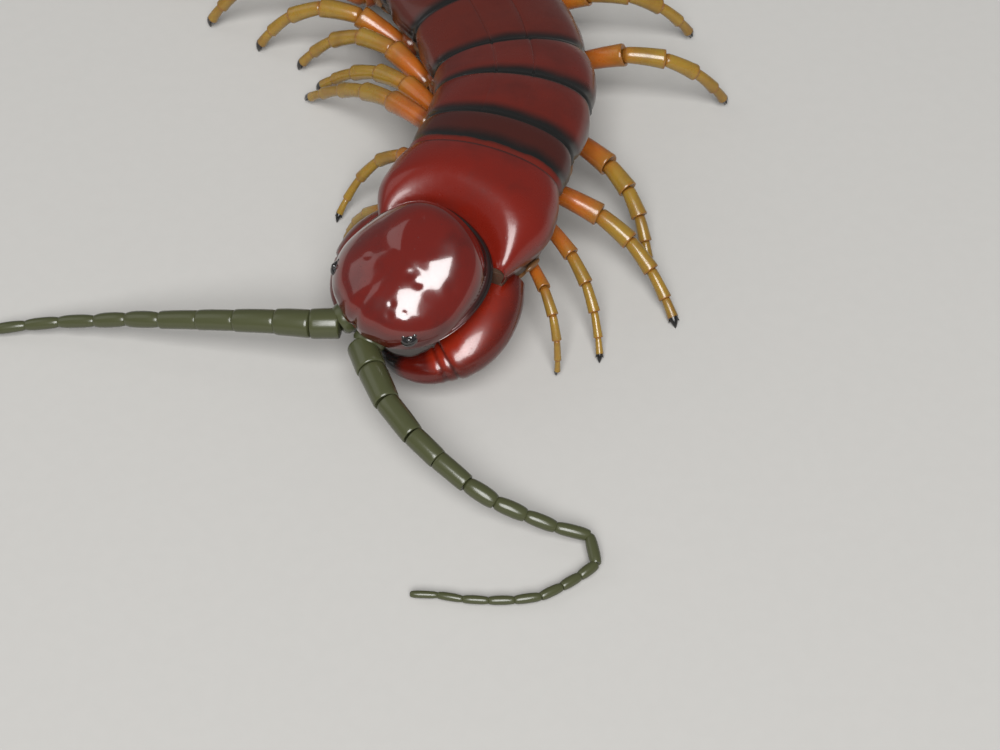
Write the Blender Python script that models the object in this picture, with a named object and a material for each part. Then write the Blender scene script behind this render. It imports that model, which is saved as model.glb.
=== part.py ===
"""Giant centipede, a still life-size model that stands on its feet.

The frame is in metres with +Z up. The head faces -Y, the tail is at +Y, and the animal's
own left is at +X. The origin lies on the floor under the middle of the bounding box.
The trunk follows a curved centre line, and the head, plates, legs, poison claws and
feelers are all placed from it and from the named sizes below.
"""
import math

import bmesh
import bpy
import numpy as np
from mathutils import Matrix, Vector

COLLECTION = "giant_centipede"
MM = 0.001
GAP = 0.3 * MM
WELD = 0.001 * MM

# Head shield
HEAD_WIDTH = 10.2 * MM
HEAD_LENGTH = 10.6 * MM
HEAD_RISE = 2.5 * MM
HEAD_RIM = 0.7 * MM
HEAD_DEPTH = 2.6 * MM
HEAD_HEADING = 50.0
HEAD_PITCH = 17.0
HEAD_ROLL = 9.0
HEAD_OVERLAP = 0.9 * MM
HEAD_LIFT = 0.9 * MM
HEAD_SHIFT = 0.75 * MM
HEAD_SIDES = 24
# Level slices under the rim: share of the outline, share of the depth, share of the length moved back
HEAD_LEVELS = ((0.50, -1.0, 0.10), (0.74, -0.86, 0.06), (0.90, -0.45, 0.02), (0.975, -0.12, 0.0))
# Level slices of the dome: share of the outline and share of the rise
HEAD_DOME = ((1.0, 0.0), (0.985, 0.22), (0.90, 0.52), (0.72, 0.80), (0.45, 0.95), (0.18, 1.0))

# Eyes: four domes on a patch at each front corner of the head
EYE_PLACE = Vector((3.55, -3.15, 1.15)) * MM
EYE_PATCH = Vector((0.70, 0.80, 0.62)) * MM
EYE_DOME = 0.26 * MM
EYE_DOME_PLACES = ((-0.24, -0.38), (0.27, -0.27), (-0.25, 0.25), (0.28, 0.33))

# Trunk: one plate length for each of the 21 segments that carry legs
PLATE_LENGTHS = [
    length * MM
    for length in (
        5.6, 3.1, 5.2, 4.8, 7.2, 6.4, 9.0, 9.4, 7.4, 9.8, 7.8,
        10.0, 8.0, 10.0, 8.0, 9.8, 7.8, 9.2, 7.4, 7.8, 8.4,
    )
]
SEGMENTS = len(PLATE_LENGTHS)
SEGMENTS_PER_NODE = 3
# Full width in mm at a segment's number
WIDTH_AT = ((1, 12.5), (2, 11.4), (3, 11.6), (6, 12.6), (10, 13.6), (15, 13.6), (19, 12.0), (21, 9.6))
RISE_SHARE = 0.24
DEPTH_SHARE = 0.30
NECK_RISE = 1.2
NECK_RISE_SEGMENTS = 4
# Cross-sections of one plate: place along it, share of the full width, share of the full height
PLATE_RINGS = ((0.0, 0.89, 0.90), (0.28, 0.985, 0.975), (0.68, 1.0, 1.0), (1.0, 0.965, 1.0))
NECK_LENGTH = 1.6 * MM
NECK_RING = (0.80, 0.78)
TAIL_TAPER = 0.80
# Lower half of a cross-section: share of half the width and share of the depth
SIDE_PROFILE = ((0.88, -0.30), (0.80, -0.66), (0.60, -0.96), (0.26, -1.0))
DOME_POINTS = 9
DOME_POWER = 0.85
BELLY_CLEARANCE = 1.6 * MM
SPINE_START = (12.60 * MM, -77.40 * MM)
SPINE_STEP = 0.1 * MM
# The way to the tail at a segment's end: degrees from +Y towards +X, and degrees of rise
HEADING_AT = ((0, 22), (1, 19), (2, 18), (3, 10), (4, -8), (5, -20), (6, -28), (8, -30), (10, -18),
              (12, 4), (14, 20), (16, 24), (18, 14), (20, 0), (21, -4))
PITCH_AT = ((0, 6), (1, 2), (2, -5), (3, -10), (4, -10), (5, -6), (6, -2), (7, 0), (21, 0))

# Lobes beside the last segment: length, width at the root and place beside the middle
LOBE_LENGTH = 3.4 * MM
LOBE_WIDTH = 2.2 * MM
LOBE_TIP = 0.5 * MM
LOBE_SIDE = 0.62
LOBE_LEVEL = -0.62

# Articles of legs and feelers: share of the length where the narrow start ends, and width of the
# start and of the buried end as shares of the article's width
ARTICLE_START = 0.08
ARTICLE_START_WIDTH = 0.84
BURIED_WIDTH = 0.62

# Walking legs: length and thickness in mm at a segment's number, then shares for the six articles
LEG_LENGTH_AT = ((5, 14.8), (10, 16.8), (16, 18.4), (20, 20.5))
LEG_THICKNESS_AT = ((1, 0.95), (2, 1.2), (3, 1.7), (10, 2.0), (20, 2.1))
ARTICLE_LENGTHS = (0.27, 0.21, 0.19, 0.165, 0.105, 0.06)
ARTICLE_BENDS = (1.0, 1.0, 0.7, 0.35, 0.6)
ARTICLE_WIDTHS = (1.0, 0.86, 0.72, 0.56, 0.46, 0.34)
CLAW_TIP = 0.30 * MM
FOOT_DIP = 0.05 * MM
# Roots of the legs: shares of the segment's length, of half the width and of the depth, and the
# share of half the width by which the buried end lies further in
LEG_STATION = 0.55
LEG_ROOT_REACH = 0.93
LEG_ROOT_DROP = 0.66
LEG_BURIED = 0.30
LEG_BURIED_DROP = 0.9
LEG_SIDES = 6
# How the legs stand: degrees swung to and fro along the body, and how many legs one wave takes
SWING = 20.0
SWING_PERIOD = 8.5
SWING_TREND = 1.5
SWING_MIDDLE = 8
LEAN = 14.0
REACH_SHARE = 0.80
# The first legs stand as in the pose: reach in mm, degrees swung towards the tail, lean, length in mm,
# and the place of the root as the three shares above
FRONT_STANCES = {
    ("left", 1): (5.86, -51.0, -7.0, 9.3, 0.41, 0.76, 0.80),
    ("left", 2): (8.91, -46.9, -40.5, 10.9, 0.20, 0.79, 0.93),
    ("left", 3): (11.87, -27.4, -60.0, 13.6, 0.20, 0.72, 0.93),
    ("left", 4): (9.71, -55.3, -41.6, 11.3, 0.32, 0.80, 0.93),
    ("right", 1): (5.96, 15.0, -3.4, 9.5, 0.53, 0.74, 0.47),
    ("right", 2): (7.25, -5.1, 60.0, 12.0, 0.55, 0.78, 0.45),
    ("right", 3): (14.6, 34.0, 20.0, 16.6, 0.74, 1.00, 0.34),
    ("right", 4): (13.3, 44.0, 26.0, 15.2, 0.68, 0.93, 0.60),
    ("right", 5): (12.4, 47.0, 20.0, 15.0, 0.64, 0.93, 0.66),
    ("right", 6): (12.4, 41.0, 10.0, 15.3, 0.59, 0.93, 0.66),
    ("right", 7): (12.6, 29.0, -4.0, 15.7, 0.55, 0.93, 0.66),
    ("right", 8): (13.0, 14.0, -14.0, 16.0, 0.55, 0.93, 0.66),
}

# Last pair of legs: (length, width) of the articles in mm, and thorns on the first one
LAST_LEG_ARTICLES = ((7.8, 2.9), (7.0, 2.6), (5.8, 2.2), (4.2, 1.7), (3.0, 1.2), (1.5, 0.5))
LAST_LEG_BENDS = (0.6, 0.8, 0.8, 0.5, 0.6)
LAST_LEG_SPLAY = 24.0
LAST_LEG_REACH = 26.0 * MM
LAST_LEG_LEAN = 10.0
LAST_LEG_SIDES = 8
SPINE_LENGTH = 0.9 * MM
SPINE_WIDTH = 0.7 * MM
SPINE_SLANT = 0.7
SPINE_SUNK = 0.9
# Places of the thorns: share of the article's length, and degrees from its inner face downwards
SPINE_PLACES = ((0.42, 20.0), (0.66, 20.0), (0.92, 12.0), (0.50, 75.0), (0.78, 75.0))

# Feelers
ANTENNA_WIDTH_AT = ((1, 2.15), (2, 2.0), (3, 1.7), (4, 1.5), (5, 1.38), (6, 1.2), (8, 0.95), (11, 0.75),
                    (18, 0.5))
ANTENNA_SIDE = 1.15 * MM
ANTENNA_SHIFT = -0.3 * MM
ANTENNA_FORWARD = 5.5 * MM
ANTENNA_DROP = 1.1 * MM
ANTENNA_ROOT_DEPTH = 2.1 * MM
ANTENNA_REST = 0.25 * MM
ANTENNA_DESCENT = 11
ANTENNA_SIDES = 8
# Each article's length in mm and its way on the floor plan: degrees from +X, counterclockwise
LEFT_ANTENNA_ARTICLES = (
    (2.13, -70.2), (2.76, -66.6), (3.04, -54.3), (2.32, -43.7), (2.45, -39.0), (2.19, -28.4),
    (2.12, -16.4), (2.06, -14.6), (2.27, -8.8), (2.04, -78.9), (1.35, -142.4), (1.40, -145.9),
    (1.53, -151.0), (1.66, -171.3), (1.63, -179.1), (1.64, -184.3), (1.61, -191.2), (1.77, -182.8),
)
RIGHT_ANTENNA_ARTICLES = (
    (1.94, 178.3), (2.45, 169.4), (2.93, 169.9), (2.72, 167.9), (2.86, 168.2), (2.67, 164.9),
    (2.48, 169.0), (2.76, 170.3), (2.52, 176.6), (2.32, 182.3), (2.10, 185.0), (2.00, 188.0),
    (1.90, 191.0), (1.80, 194.0), (1.70, 197.0), (1.62, 199.0), (1.60, 201.0), (1.77, 203.0),
)

# Poison claws under the head: (to the side, forward, up) in the head's frame and width, in mm
POISON_CLAW_PATH = (
    ((2.9, -4.8, -3.7), 3.4), ((4.0, -3.2, -3.2), 3.9), ((4.8, -1.2, -3.0), 4.0), ((5.05, 0.6, -3.05), 3.6),
    ((4.75, 2.1, -3.2), 2.8), ((4.1, 3.2, -3.35), 2.3), ((3.3, 3.9, -3.5), 1.7), ((2.35, 4.3, -3.65), 1.3),
    ((1.5, 4.4, -3.8), 0.9), ((0.8, 4.3, -3.9), 0.5),
)
POISON_CLAW_FLATNESS = 0.86
POISON_CLAW_SIDES = 12
CLAW_SHIELD_SIZE = Vector((8.0, 6.4, 2.4)) * MM
CLAW_SHIELD_PLACE = Vector((0, 3.1, -4.6)) * MM
CLAW_SHIELD_ROUND = 1.05 * MM

# Mouthparts between the poison claws: a plate and two short palps, in the head's frame
MOUTH_PLATE_SIZE = Vector((2.6, 3.0, 0.9)) * MM
MOUTH_PLATE_PLACE = Vector((0, -0.9, -3.45)) * MM
MOUTH_PLATE_ROUND = 0.25 * MM
PALP_PATH = (((0.6, -1.6, -3.4), 0.8), ((1.0, -2.4, -3.3), 0.85), ((1.25, -3.1, -3.2), 0.75),
             ((1.1, -3.7, -3.25), 0.6), ((0.75, -4.1, -3.4), 0.35))
PALP_SIDES = 6

# Linear base colour and roughness of each material
COLOURS = {
    "head_shell": ((0.165, 0.012, 0.006), 0.20),
    "back_plates": ((0.120, 0.016, 0.008), 0.24),
    "poison_claw_shell": ((0.330, 0.035, 0.008), 0.22),
    "leg_shell": ((0.420, 0.180, 0.020), 0.35),
    "feeler_shell": ((0.050, 0.055, 0.022), 0.35),
    "eye_glaze": ((0.010, 0.008, 0.008), 0.10),
}


def along(knots, where):
    """The value at `where` on straight runs between (place, value) knots."""
    places, values = zip(*knots)
    return float(np.interp(where, places, values))


class Spine:
    """The trunk's centre line, at the height of the plates' side edges."""

    def __init__(self):
        self.ends = np.concatenate([[0.0], np.cumsum(PLATE_LENGTHS)])
        self.length = float(self.ends[-1])
        self.stations = np.arange(-2 * NECK_LENGTH, self.length + 2 * LOBE_LENGTH, SPINE_STEP)
        numbers = np.interp(self.stations, self.ends, np.arange(SEGMENTS + 1))
        self.heading = np.radians(np.interp(numbers, *zip(*HEADING_AT)))
        self.pitch = np.radians(np.interp(numbers, *zip(*PITCH_AT)))
        level = np.cos(self.pitch)
        way = np.stack([np.sin(self.heading) * level, np.cos(self.heading) * level, np.sin(self.pitch)], axis=1)
        self.points = np.cumsum(way * SPINE_STEP, axis=0)
        first = int(np.searchsorted(self.stations, 0.0))
        rest_height = BELLY_CLEARANCE + DEPTH_SHARE * along(WIDTH_AT, 12) * MM
        self.points[:, :2] += np.array(SPINE_START) - self.points[first, :2]
        self.points[:, 2] += rest_height - self.points[-1, 2]

    def frame(self, station):
        """A matrix whose columns are the animal's left, the way to the tail, up, and the place."""
        place = Vector([float(np.interp(station, self.stations, self.points[:, k])) for k in range(3)])
        heading = float(np.interp(station, self.stations, self.heading))
        pitch = float(np.interp(station, self.stations, self.pitch))
        return frame_matrix(place, heading, pitch, 0.0)

    def width(self, station):
        number = float(np.interp(station, self.ends, np.arange(SEGMENTS + 1))) + 0.5
        return along(WIDTH_AT, number) * MM

    def inside(self, number, share):
        """The station at a share of the way along one segment."""
        return self.ends[number - 1] + share * (self.ends[number] - self.ends[number - 1])


def frame_matrix(place, heading, pitch, roll):
    turn = Matrix.Rotation(-heading, 4, "Z") @ Matrix.Rotation(pitch, 4, "X") @ Matrix.Rotation(roll, 4, "Y")
    return Matrix.Translation(place) @ turn


def trunk_ring(spine, station, spread, height, grow):
    """One cross-section: a domed plate on top, sides drawn in below its edge, and a flat belly."""
    neck = max(0.0, 1.0 - station / spine.ends[NECK_RISE_SEGMENTS])
    half = spine.width(station) / 2 * spread + grow
    rise = spine.width(station) * RISE_SHARE * height * (1 + (NECK_RISE - 1) * neck) + grow
    depth = spine.width(station) * DEPTH_SHARE * (0.5 + 0.5 * height) + grow
    dome = [(math.cos(a), math.sin(a) ** DOME_POWER) for a in np.linspace(0, math.pi, DOME_POINTS)]
    right_side = [(-x, z) for x, z in SIDE_PROFILE]
    low = right_side + list(reversed(SIDE_PROFILE))
    frame = spine.frame(station)
    points = [Vector((x * half, 0.0, z * rise)) for x, z in dome]
    points += [Vector((x * half, 0.0, z * depth)) for x, z in low]
    return [frame @ point for point in points]


def trunk_rings(spine, first, last, grow=0.0):
    """The cross-sections of segments first to last, each plate standing proud of the next."""
    rings = []
    for number in range(first, last + 1):
        start = spine.ends[number - 1] + GAP
        length = spine.ends[number] - start
        if number == 1:
            rings.append(trunk_ring(spine, start - NECK_LENGTH, *NECK_RING, grow))
        for share, spread, height in PLATE_RINGS:
            taper = TAIL_TAPER if number == SEGMENTS and share == 1.0 else 1.0
            rings.append(trunk_ring(spine, start + share * length, spread * taper, height * taper, grow))
    return rings


def finish_mesh(name, shape):
    """Turns a bmesh into an object of the scene, with its faces pointing out."""
    bmesh.ops.recalc_face_normals(shape, faces=shape.faces)
    mesh = bpy.data.meshes.new(name)
    shape.to_mesh(mesh)
    shape.free()
    made = bpy.data.objects.new(name, mesh)
    bpy.context.scene.collection.objects.link(made)
    return made


def loft(name, rings):
    """A closed mesh through rings of as many points each, with flat ends."""
    shape = bmesh.new()
    made = [[shape.verts.new(point) for point in ring] for ring in rings]
    for ahead, behind in zip(made, made[1:]):
        for k, corner in enumerate(ahead):
            n = (k + 1) % len(ahead)
            shape.faces.new((corner, ahead[n], behind[n], behind[k]))
    shape.faces.new(made[0])
    shape.faces.new(made[-1])
    return finish_mesh(name, shape)


def tube(name, points, radii, sides):
    """A tube along points with a radius at each, closed at both ends."""
    curve = bpy.data.curves.new(name, "CURVE")
    curve.dimensions = "3D"
    curve.bevel_depth = 1.0
    curve.bevel_resolution = (sides - 4) // 2
    curve.use_fill_caps = True
    curve.twist_mode = "Z_UP"
    spline = curve.splines.new("POLY")
    spline.points.add(len(points) - 1)
    for point, place, radius in zip(spline.points, points, radii):
        point.co = (*place, 1.0)
        point.radius = radius
    source = bpy.data.objects.new(name, curve)
    bpy.context.scene.collection.objects.link(source)
    bpy.context.view_layer.update()
    graph = bpy.context.evaluated_depsgraph_get()
    mesh = bpy.data.meshes.new_from_object(source.evaluated_get(graph))
    shape = bmesh.new()
    shape.from_mesh(mesh)
    bmesh.ops.remove_doubles(shape, verts=shape.verts, dist=WELD)
    bpy.data.meshes.remove(mesh)
    bpy.data.objects.remove(source)
    return finish_mesh(name, shape)


def rounded_box(name, size, place, rounding, frame):
    shape = bmesh.new()
    bmesh.ops.create_cube(shape, size=1.0)
    bmesh.ops.scale(shape, vec=size, verts=shape.verts)
    bmesh.ops.bevel(shape, geom=shape.edges[:], offset=rounding, segments=2, profile=0.5, affect="EDGES")
    bmesh.ops.translate(shape, vec=place, verts=shape.verts)
    shape.transform(frame)
    return finish_mesh(name, shape)


def ball(name, place, radii, frame):
    shape = bmesh.new()
    bmesh.ops.create_icosphere(shape, subdivisions=2, radius=1.0)
    bmesh.ops.scale(shape, vec=radii, verts=shape.verts)
    bmesh.ops.translate(shape, vec=place, verts=shape.verts)
    shape.transform(frame)
    return finish_mesh(name, shape)


def cone(root, way, length, width):
    """A thorn of five sides with its root sunk a third of its length."""
    shape = bmesh.new()
    bmesh.ops.create_cone(shape, cap_ends=True, segments=5, radius1=width / 2, radius2=width / 12,
                          depth=length * 4 / 3)
    bmesh.ops.translate(shape, vec=Vector((0, 0, length / 3)), verts=shape.verts)
    shape.transform(Matrix.Translation(root) @ way.to_track_quat("Z", "Y").to_matrix().to_4x4())
    return finish_mesh("thorn", shape)


def keep_largest(made):
    """Leaves only the biggest closed surface of a mesh."""
    shape = bmesh.new()
    shape.from_mesh(made.data)
    left = set(shape.verts)
    islands = []
    while left:
        edge = [left.pop()]
        island = set()
        while edge:
            vert = edge.pop()
            island.add(vert)
            linked = {link.other_vert(vert) for link in vert.link_edges} & left
            left -= linked
            edge += linked
        islands.append(island)
    biggest = max(islands, key=len)
    bmesh.ops.delete(shape, geom=[v for v in shape.verts if v not in biggest], context="VERTS")
    shape.to_mesh(made.data)
    shape.free()


def boolean(made, others, operation):
    """Applies one Boolean with a collection of closed meshes, then removes them."""
    tools = bpy.data.collections.new("cutters")
    bpy.context.scene.collection.children.link(tools)
    for other in others:
        tools.objects.link(other)
    step = made.modifiers.new("cut", "BOOLEAN")
    step.operation = operation
    step.operand_type = "COLLECTION"
    step.collection = tools
    step.solver = "EXACT"
    graph = bpy.context.evaluated_depsgraph_get()
    mesh = bpy.data.meshes.new_from_object(made.evaluated_get(graph))
    made.modifiers.remove(step)
    old = made.data
    made.data = mesh
    bpy.data.meshes.remove(old)
    for other in others:
        bpy.data.objects.remove(other)
    bpy.data.collections.remove(tools)
    keep_largest(made)


def flatten_feet(made):
    """Presses what dips under the floor into a small flat on it."""
    for vert in made.data.vertices:
        vert.co.z = max(vert.co.z, 0.0)


def side_name(side):
    return "left" if side > 0 else "right"


def limb_joints(root, foot, lengths, bends, lean):
    """Joints of an arched limb of fixed lengths from root to foot, its bend solved for the reach."""
    chord = foot - root
    steps = np.concatenate([[0.0], np.cumsum(bends)])

    def run(bend):
        rows = [lengths * np.cos(bend * steps), -lengths * np.sin(bend * steps)]
        return np.cumsum(np.stack(rows, axis=1), axis=0)

    low, high = 0.0, math.pi / steps[-1]
    for _ in range(50):
        middle = (low + high) / 2
        if np.linalg.norm(run(middle)[-1]) > chord.length:
            low = middle
        else:
            high = middle
    plane = run(low)
    out = chord.normalized()
    arch = (Vector((0, 0, 1)) - out * out.z).normalized()
    arch = Matrix.Rotation(math.radians(lean), 3, out) @ arch
    tilt = math.atan2(plane[-1][1], plane[-1][0])
    joints = [root.copy()]
    for x, y in plane:
        forward = x * math.cos(tilt) + y * math.sin(tilt)
        rise = -x * math.sin(tilt) + y * math.cos(tilt)
        joints.append(root + out * forward + arch * rise)
    return joints


def jointed_tube(name, inner, joints, widths, tip_width, sides):
    """A limb of articles: each starts a little narrower than the one before it ended."""
    points, radii = [inner], [widths[0] / 2 * BURIED_WIDTH]
    for k, width in enumerate(widths):
        run = joints[k + 1] - joints[k]
        points.append(joints[k] + run * ARTICLE_START)
        radii.append(width / 2 * ARTICLE_START_WIDTH)
        points.append(joints[k + 1])
        radii.append(width / 2)
    radii[-1] = tip_width / 2
    return tube(name, points, radii, sides)


def leg_stance(number, side):
    """A leg's reach, swing, lean and length, and its root's place as three shares."""
    length = along(LEG_LENGTH_AT, number)
    phase = 2 * math.pi * number / SWING_PERIOD + (0.0 if side > 0 else math.pi)
    swing = SWING * math.sin(phase) + SWING_TREND * (number - SWING_MIDDLE)
    usual = (REACH_SHARE * length, swing, side * LEAN, length, LEG_STATION, LEG_ROOT_REACH, LEG_ROOT_DROP)
    return FRONT_STANCES.get((side_name(side), number), usual)


def build_leg(spine, number, side):
    """One walking leg: side is +1 on the animal's left and -1 on its right."""
    reach, swing, lean, length, root_station, root_reach, root_drop = leg_stance(number, side)
    station = spine.inside(number, root_station)
    frame = spine.frame(station)
    half = spine.width(station) / 2
    level = -root_drop * spine.width(station) * DEPTH_SHARE
    root = frame @ Vector((side * half * root_reach, 0, level))
    inner = frame @ Vector((side * half * (root_reach - LEG_BURIED), 0, level * LEG_BURIED_DROP))
    swing = math.radians(swing)
    out = frame.to_3x3() @ Vector((side * math.cos(swing), math.sin(swing), 0.0))
    out.z = 0.0
    foot = root + out.normalized() * reach * MM
    foot.z = -FOOT_DIP
    joints = limb_joints(root, foot, np.array(ARTICLE_LENGTHS) * length * MM, ARTICLE_BENDS, lean)
    thickness = along(LEG_THICKNESS_AT, number) * MM
    widths = [thickness * share for share in ARTICLE_WIDTHS]
    made = jointed_tube(f"leg_{side_name(side)}_{number:02d}", inner, joints, widths, CLAW_TIP, LEG_SIDES)
    flatten_feet(made)
    around = (max(1, number - 1), min(SEGMENTS, number + 1))
    cutters = [loft("cutter", trunk_rings(spine, *around, grow=GAP))]
    if number == 1:
        cutters += [claw_shield(spine, GAP, "cutter"), poison_claw_mesh(spine, side, GAP, "cutter")]
    boolean(made, cutters, "DIFFERENCE")
    return made


def build_last_leg(spine, side):
    """One of the last pair: longer, stouter, stretched out behind, with thorns inside its first article."""
    frame = spine.frame(spine.length)
    half = spine.width(spine.length) / 2
    depth = spine.width(spine.length) * DEPTH_SHARE
    inner = frame @ Vector((side * half * 0.38, -2.5 * MM, -0.25 * depth))
    root = frame @ Vector((side * half * 0.42, 0.8 * MM, -0.20 * depth))
    splay = math.radians(LAST_LEG_SPLAY)
    out = frame.to_3x3() @ Vector((side * math.sin(splay), math.cos(splay), 0.0))
    out.z = 0.0
    foot = root + out.normalized() * LAST_LEG_REACH
    foot.z = -FOOT_DIP
    lengths = np.array([length for length, _ in LAST_LEG_ARTICLES]) * MM
    widths = [width * MM for _, width in LAST_LEG_ARTICLES]
    joints = limb_joints(root, foot, lengths, LAST_LEG_BENDS, side * LAST_LEG_LEAN)
    made = jointed_tube(f"leg_last_{side_name(side)}", inner, joints, widths, CLAW_TIP, LAST_LEG_SIDES)
    boolean(made, last_leg_thorns(joints, widths[0], side), "UNION")
    flatten_feet(made)
    cutters = [loft("cutter", trunk_rings(spine, SEGMENTS - 1, SEGMENTS, grow=GAP)), *lobes(spine, GAP)]
    boolean(made, cutters, "DIFFERENCE")
    return made


def last_leg_thorns(joints, width, side):
    """Thorns on the inner and lower faces of the first article."""
    run = joints[1] - joints[0]
    across = run.cross(Vector((0, 0, 1))).normalized() * -side
    down = -across.cross(run).normalized() * -side
    if down.z > 0:
        down = -down
    made = []
    for share, angle in SPINE_PLACES:
        inward = (across * math.cos(math.radians(angle)) + down * math.sin(math.radians(angle))).normalized()
        surface = width / 2 * (ARTICLE_START_WIDTH + (1 - ARTICLE_START_WIDTH) * share) * SPINE_SUNK
        way = (inward + run.normalized() * SPINE_SLANT).normalized()
        made.append(cone(joints[0] + run * share + inward * surface, way, SPINE_LENGTH, SPINE_WIDTH))
    return made


def head_frame(spine):
    """The head's frame: origin at the middle of the shield's rim, columns left, tailwards, up."""
    neck = spine.frame(0.0)
    turn = frame_matrix(Vector(), math.radians(HEAD_HEADING), math.radians(HEAD_PITCH), math.radians(HEAD_ROLL))
    tailwards = turn.to_3x3() @ Vector((0, 1, 0))
    offset = neck.to_3x3() @ Vector((HEAD_SHIFT, 0, HEAD_LIFT))
    place = neck.translation - tailwards * (HEAD_LENGTH / 2 - HEAD_OVERLAP) + offset
    return Matrix.Translation(place) @ turn


def head_outline(angle):
    """The shield's outline seen from above, as shares of half its width and length."""
    x, y = math.sin(angle), -math.cos(angle)
    narrow = 1.0 - 0.10 * max(0.0, -y) ** 2
    blunt = 1.0 + 0.05 * math.sin(2 * angle) ** 2
    return x * narrow * blunt, y * blunt


def head_mesh(spine, grow=0.0, name="head"):
    """The head: slices of one outline from its underside up over the dome."""
    slices = [(spread, level * HEAD_DEPTH - grow, back * HEAD_LENGTH) for spread, level, back in HEAD_LEVELS]
    for spread, level in HEAD_DOME:
        rim = HEAD_RIM * min(1.0, level * 4 + 0.3)
        slices.append((spread, rim + level * (HEAD_RISE + grow), 0.0))
    frame = head_frame(spine)
    rings = []
    for spread, level, back in slices:
        outline = [head_outline(2 * math.pi * k / HEAD_SIDES) for k in range(HEAD_SIDES)]
        wide = spread * HEAD_WIDTH / 2 + grow
        long = spread * HEAD_LENGTH / 2 + grow
        rings.append([frame @ Vector((x * wide, y * long + back, level)) for x, y in outline])
    return loft(name, rings)


def eye_patch(spine, side, grow, name):
    place = Vector((side * EYE_PLACE.x, EYE_PLACE.y, EYE_PLACE.z))
    return ball(name, place, EYE_PATCH + Vector((grow, grow, grow)), head_frame(spine))


def build_eye(spine, side):
    """Four simple eyes on one dark patch."""
    made = eye_patch(spine, side, 0.0, f"eye_{side_name(side)}")
    domes = []
    for x, y in EYE_DOME_PLACES:
        flat = 1.0 - (x / (EYE_PATCH.x / MM)) ** 2 - (y / (EYE_PATCH.y / MM)) ** 2
        up = EYE_PATCH.z * math.sqrt(flat)
        place = Vector((side * (EYE_PLACE.x + x * MM), EYE_PLACE.y + y * MM, EYE_PLACE.z + up - EYE_DOME * 0.3))
        domes.append(ball("dome", place, Vector((EYE_DOME, EYE_DOME, EYE_DOME)), head_frame(spine)))
    boolean(made, domes, "UNION")
    return made


def build_head(spine):
    made = head_mesh(spine)
    boolean(made, [eye_patch(spine, side, GAP, "cutter") for side in (1, -1)], "DIFFERENCE")
    return made


def build_antenna(spine, side):
    """A feeler that comes down to the floor and runs on just above it."""
    frame = head_frame(spine)
    root = frame @ Vector((side * ANTENNA_SIDE + ANTENNA_SHIFT, -ANTENNA_FORWARD, -ANTENNA_DROP))
    inner = root + frame.to_3x3() @ Vector((0, ANTENNA_ROOT_DEPTH, 0))
    articles = LEFT_ANTENNA_ARTICLES if side > 0 else RIGHT_ANTENNA_ARTICLES
    place, joints, widths = root.copy(), [root.copy()], []
    for number, (length, way) in enumerate(articles, 1):
        length *= MM
        width = along(ANTENNA_WIDTH_AT, number) * MM
        way = math.radians(way)
        share = min(1.0, number / ANTENNA_DESCENT)
        descent = share * share * (3 - 2 * share)
        drop = root.z + (width / 2 + ANTENNA_REST - root.z) * descent - place.z
        level = math.sqrt(length * length - drop * drop)
        place = place + Vector((level * math.cos(way), level * math.sin(way), drop))
        joints.append(place)
        widths.append(width)
    made = jointed_tube(f"antenna_{side_name(side)}", inner, joints, widths, widths[-1] * 0.5, ANTENNA_SIDES)
    boolean(made, [head_mesh(spine, GAP, "cutter")], "DIFFERENCE")
    return made


def claw_shield(spine, grow=0.0, name="poison_claw_base"):
    """The shield under the head that carries both poison claws."""
    size = CLAW_SHIELD_SIZE + Vector((2, 2, 2)) * grow
    return rounded_box(name, size, CLAW_SHIELD_PLACE, CLAW_SHIELD_ROUND, head_frame(spine))


def neck_cutters(spine):
    return [head_mesh(spine, GAP, "cutter"), loft("cutter", trunk_rings(spine, 1, 2, grow=GAP))]


def poison_claw_mesh(spine, side, grow, name):
    """One poison claw along its path, a little flatter than wide."""
    frame = head_frame(spine)
    places = [Vector((side * x, -y, z)) * MM for (x, y, z), _ in POISON_CLAW_PATH]
    rings = []
    for k, (place, (_, width)) in enumerate(zip(places, POISON_CLAW_PATH)):
        way = (places[min(k + 1, len(places) - 1)] - places[max(k - 1, 0)]).normalized()
        across = way.cross(Vector((0, 0, 1))).normalized()
        up = across.cross(way)
        radius = width * MM / 2 + grow
        angles = [2 * math.pi * n / POISON_CLAW_SIDES for n in range(POISON_CLAW_SIDES)]
        ring = [across * math.cos(a) + up * POISON_CLAW_FLATNESS * math.sin(a) for a in angles]
        rings.append([frame @ (place + point * radius) for point in ring])
    return loft(name, rings)


def build_poison_claw(spine, side):
    made = poison_claw_mesh(spine, side, 0.0, f"poison_claw_{side_name(side)}")
    boolean(made, [*neck_cutters(spine), claw_shield(spine, GAP, "cutter")], "DIFFERENCE")
    return made


def build_mouthparts(spine):
    """A plate with two short palps, between the poison claws."""
    frame = head_frame(spine)
    made = rounded_box("mouthparts", MOUTH_PLATE_SIZE, MOUTH_PLATE_PLACE, MOUTH_PLATE_ROUND, frame)
    palps = []
    for side in (1, -1):
        points = [frame @ (Vector((side * x, y, z)) * MM) for (x, y, z), _ in PALP_PATH]
        palps.append(tube("palp", points, [width * MM / 2 for _, width in PALP_PATH], PALP_SIDES))
    boolean(made, palps, "UNION")
    cutters = [poison_claw_mesh(spine, side, GAP, "cutter") for side in (1, -1)]
    boolean(made, [*neck_cutters(spine), claw_shield(spine, GAP, "cutter"), *cutters], "DIFFERENCE")
    return made


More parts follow.
